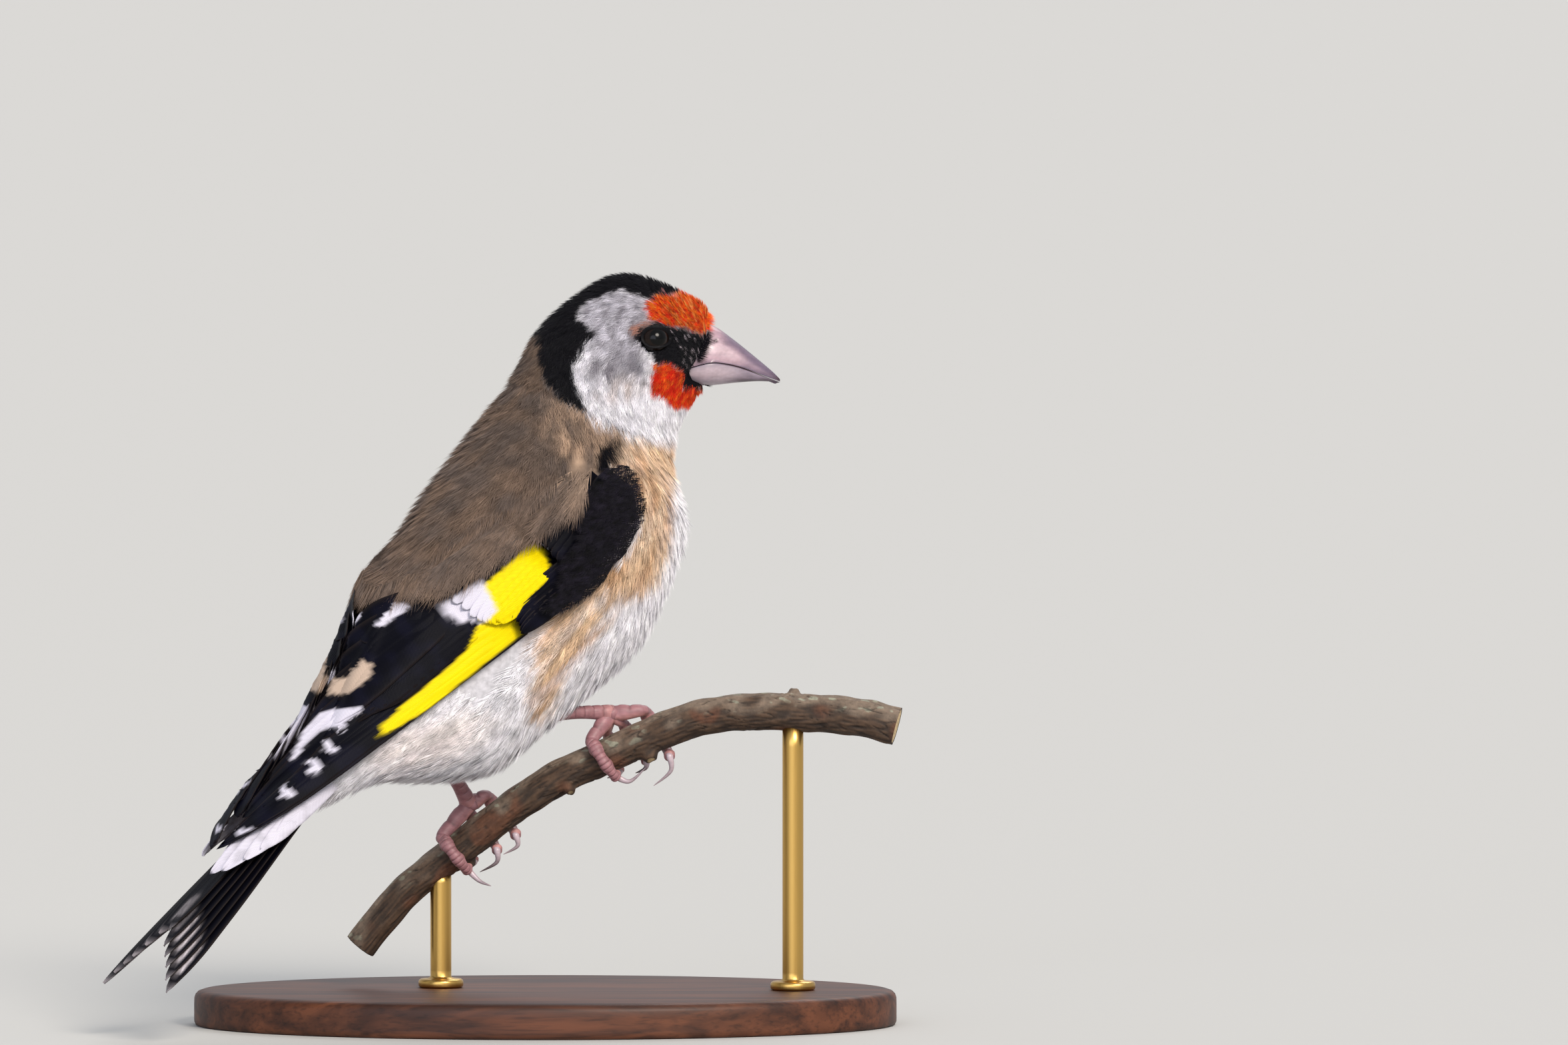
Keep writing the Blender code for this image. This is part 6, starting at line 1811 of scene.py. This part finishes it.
def woodMaterial():
    # Walnut plank, stained and given a satin varnish: long grain along the plank from noise
    # stretched 14 times, and fine dark pores.
    material, tree, surface = newMaterial("stainedWalnut")
    place = addNode(tree, "ShaderNodeTexCoord")
    drawn = addNode(tree, "ShaderNodeMapping", {"Scale": (0.07, 1.0, 1.0)},
                    {"Vector": place.outputs["Object"]})
    grain = addNode(tree, "ShaderNodeTexNoise", {"Scale": 1 / (4 * mm), "Detail": 6.0,
                                                 "Distortion": 1.2},
                    {"Vector": drawn.outputs["Vector"]})
    pores = addNode(tree, "ShaderNodeTexNoise", {"Scale": 1 / (0.5 * mm), "Detail": 2.0},
                    {"Vector": drawn.outputs["Vector"]})
    share = addNode(tree, "ShaderNodeMapRange", {"From Min": 0.35, "From Max": 0.65},
                    {"Value": grain.outputs["Fac"]})
    mixed = addNode(tree, "ShaderNodeMix", {"data_type": "RGBA"})
    mixed.inputs[6].default_value = (*linear(stand["dark"]), 1)
    mixed.inputs[7].default_value = (*linear(stand["light"]), 1)
    tree.links.new(share.outputs["Result"], mixed.inputs[0])
    darker = addNode(tree, "ShaderNodeMapRange", {"From Min": 0.3, "From Max": 0.5, "To Min": 0.6},
                     {"Value": pores.outputs["Fac"]})
    final = addNode(tree, "ShaderNodeVectorMath", {"operation": "SCALE"},
                    {0: mixed.outputs[2], "Scale": darker.outputs["Result"]})
    tree.links.new(final.outputs["Vector"], surface.inputs["Base Color"])
    bump = addNode(tree, "ShaderNodeBump", {"Strength": 0.25, "Distance": 0.05 * mm},
                   {"Height": pores.outputs["Fac"]})
    tree.links.new(bump.outputs["Normal"], surface.inputs["Normal"])
    surface.inputs["Roughness"].default_value = 0.55
    surface.inputs["Specular IOR Level"].default_value = 0.3
    surface.inputs["Coat Weight"].default_value = 0.1
    surface.inputs["Coat Roughness"].default_value = 0.35
    return material


def brassMaterial():
    # Drawn brass rod, rubbed along its length: satin, with faint scratches drawn out 20 times.
    material, tree, surface = newMaterial("brushedBrass")
    place = addNode(tree, "ShaderNodeTexCoord")
    drawn = addNode(tree, "ShaderNodeMapping", {"Scale": (1.0, 1.0, 0.05)},
                    {"Vector": place.outputs["Object"]})
    lines = addNode(tree, "ShaderNodeTexNoise", {"Scale": 1 / (0.12 * mm), "Detail": 3.0},
                    {"Vector": drawn.outputs["Vector"]})
    rough = addNode(tree, "ShaderNodeMapRange", {"To Min": 0.24, "To Max": 0.42},
                    {"Value": lines.outputs["Fac"]})
    tree.links.new(rough.outputs["Result"], surface.inputs["Roughness"])
    bump = addNode(tree, "ShaderNodeBump", {"Strength": 0.15, "Distance": 0.01 * mm},
                   {"Height": lines.outputs["Fac"]})
    tree.links.new(bump.outputs["Normal"], surface.inputs["Normal"])
    surface.inputs["Base Color"].default_value = (*linear("#c9a25a"), 1)
    surface.inputs["Metallic"].default_value = 1.0
    return material


def makeStand():
    turn = np.linspace(0, 2 * math.pi, 241)[:-1]
    profile = np.array(stand["profile"])
    long, deep = stand["half"]
    rows = np.stack([standCentre[0] + (long - profile[:, :1]) * np.cos(turn),
                     standCentre[1] + (deep - profile[:, :1]) * np.sin(turn),
                     profile[:, 1:] + 0 * turn], -1)
    piece = putMesh("oval_stand_base", *closed(rows), woodMaterial())
    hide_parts("stand_base")
    brass = brassMaterial()
    turn = np.linspace(0, 2 * math.pi, 65)[:-1]
    for name, share in stand["rods"].items():
        spot = along(branch["points"], share)
        line = [(5.03 + height, radius) for height, radius in stand["collar"]]
        line += [(height, stand["rod"]) for height in np.linspace(7.5, spot[2] - 1.6, 12)]
        line = np.array(line)
        rows = np.stack([spot[0] + line[:, 1:] * np.cos(turn), spot[1] + line[:, 1:] * np.sin(turn),
                         line[:, :1] + 0 * turn], -1)
        piece = putMesh("round_" + name, *closed(rows), brass)
        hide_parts(name)


makeStand()
print("stand made")


# Setting: pale floor and backdrop, soft studio light from the upper left and front.
setting = {
    "floor": "#bfbebb",
    "centre": np.array([31.97, 0.0, 71.25]),
    "field": 223.5,
    "away": 2500.0,
    "elevation": 2.5,
}


def makeLight(name, place, power, softness, tint):
    # a distant lamp seen from the bird in the direction of place, softness degrees wide
    lamp = bpy.data.lights.new(name, "SUN")
    lamp.energy = power
    lamp.angle = math.radians(softness)
    lamp.color = linear(tint)
    held = bpy.data.objects.new(name, lamp)
    bpy.context.scene.collection.objects.link(held)
    held.location = np.array(place) * mm
    held.rotation_euler = Vector(-np.array(place, float)).to_track_quat("-Z", "Y").to_euler()


def makeSetting():
    # floor: a disc far wider than the view
    turns = np.linspace(0, 2 * math.pi, 97)[:-1]
    radius = np.array([60.0, 400.0, 2000.0, 16000.0])[:, None]
    rows = np.stack([radius * np.cos(turns), radius * np.sin(turns), 0 * radius * turns - 0.02], -1)
    points = np.concatenate([rows.reshape(-1, 3), [[0, 0, -0.02]]])
    step = np.arange(96)
    middle = np.stack([np.full(96, len(points) - 1), step, (step + 1) % 96], -1)
    faces = np.concatenate([split(gridFaces(4, 96, True))[:, ::-1], middle])
    material, tree, surface = newMaterial("matPaperFloor")
    # matt backdrop paper, warm grey
    surface.inputs["Base Color"].default_value = (*linear(setting["floor"]), 1)
    surface.inputs["Roughness"].default_value = 0.9
    surface.inputs["Specular IOR Level"].default_value = 0.2
    sheet = bpy.data.objects.new("paperFloor", bpy.data.meshes.new("paperFloor"))
    sheet.data.from_pydata(((points + shift) * mm).tolist(), [], faces.tolist())
    sheet.data.materials.append(material)
    bpy.context.scene.collection.objects.link(sheet)
    world = bpy.data.worlds.new("softRoom")
    bpy.context.scene.world = world
    world.use_nodes = True
    sky = world.node_tree.nodes["Background"]
    sky.inputs["Color"].default_value = (*linear("#dfe3ea"), 1)
    sky.inputs["Strength"].default_value = 0.75
    makeLight("keyLight", (420, -900, 680), 3.0, 24, "#fff6ea")
    makeLight("fillLight", (-250, -950, 110), 1.3, 50, "#e8eeff")
    makeLight("rimLight", (200, 700, 800), 0.8, 30, "#ffffff")
    # plain colours, without the filmic curve that washes out the red, yellow and black
    bpy.context.scene.view_settings.view_transform = "Standard"


def makeCamera():
    # level with the bird, far off, so that the side view is nearly flat
    lens = bpy.data.cameras.new("camera")
    lens.sensor_width = 36
    lens.lens = 36 * setting["away"] / setting["field"]
    lens.clip_start = 0.1
    lens.clip_end = 60
    held = bpy.data.objects.new("camera", lens)
    bpy.context.scene.collection.objects.link(held)
    tilt = math.radians(setting["elevation"])
    away = np.array([0, -math.cos(tilt), math.sin(tilt)]) * setting["away"]
    held.location = (setting["centre"] + shift + away) * mm
    held.rotation_euler = (math.pi / 2 - tilt, 0, 0)
    bpy.context.scene.camera = held


makeSetting()
makeCamera()
print("setting ready")
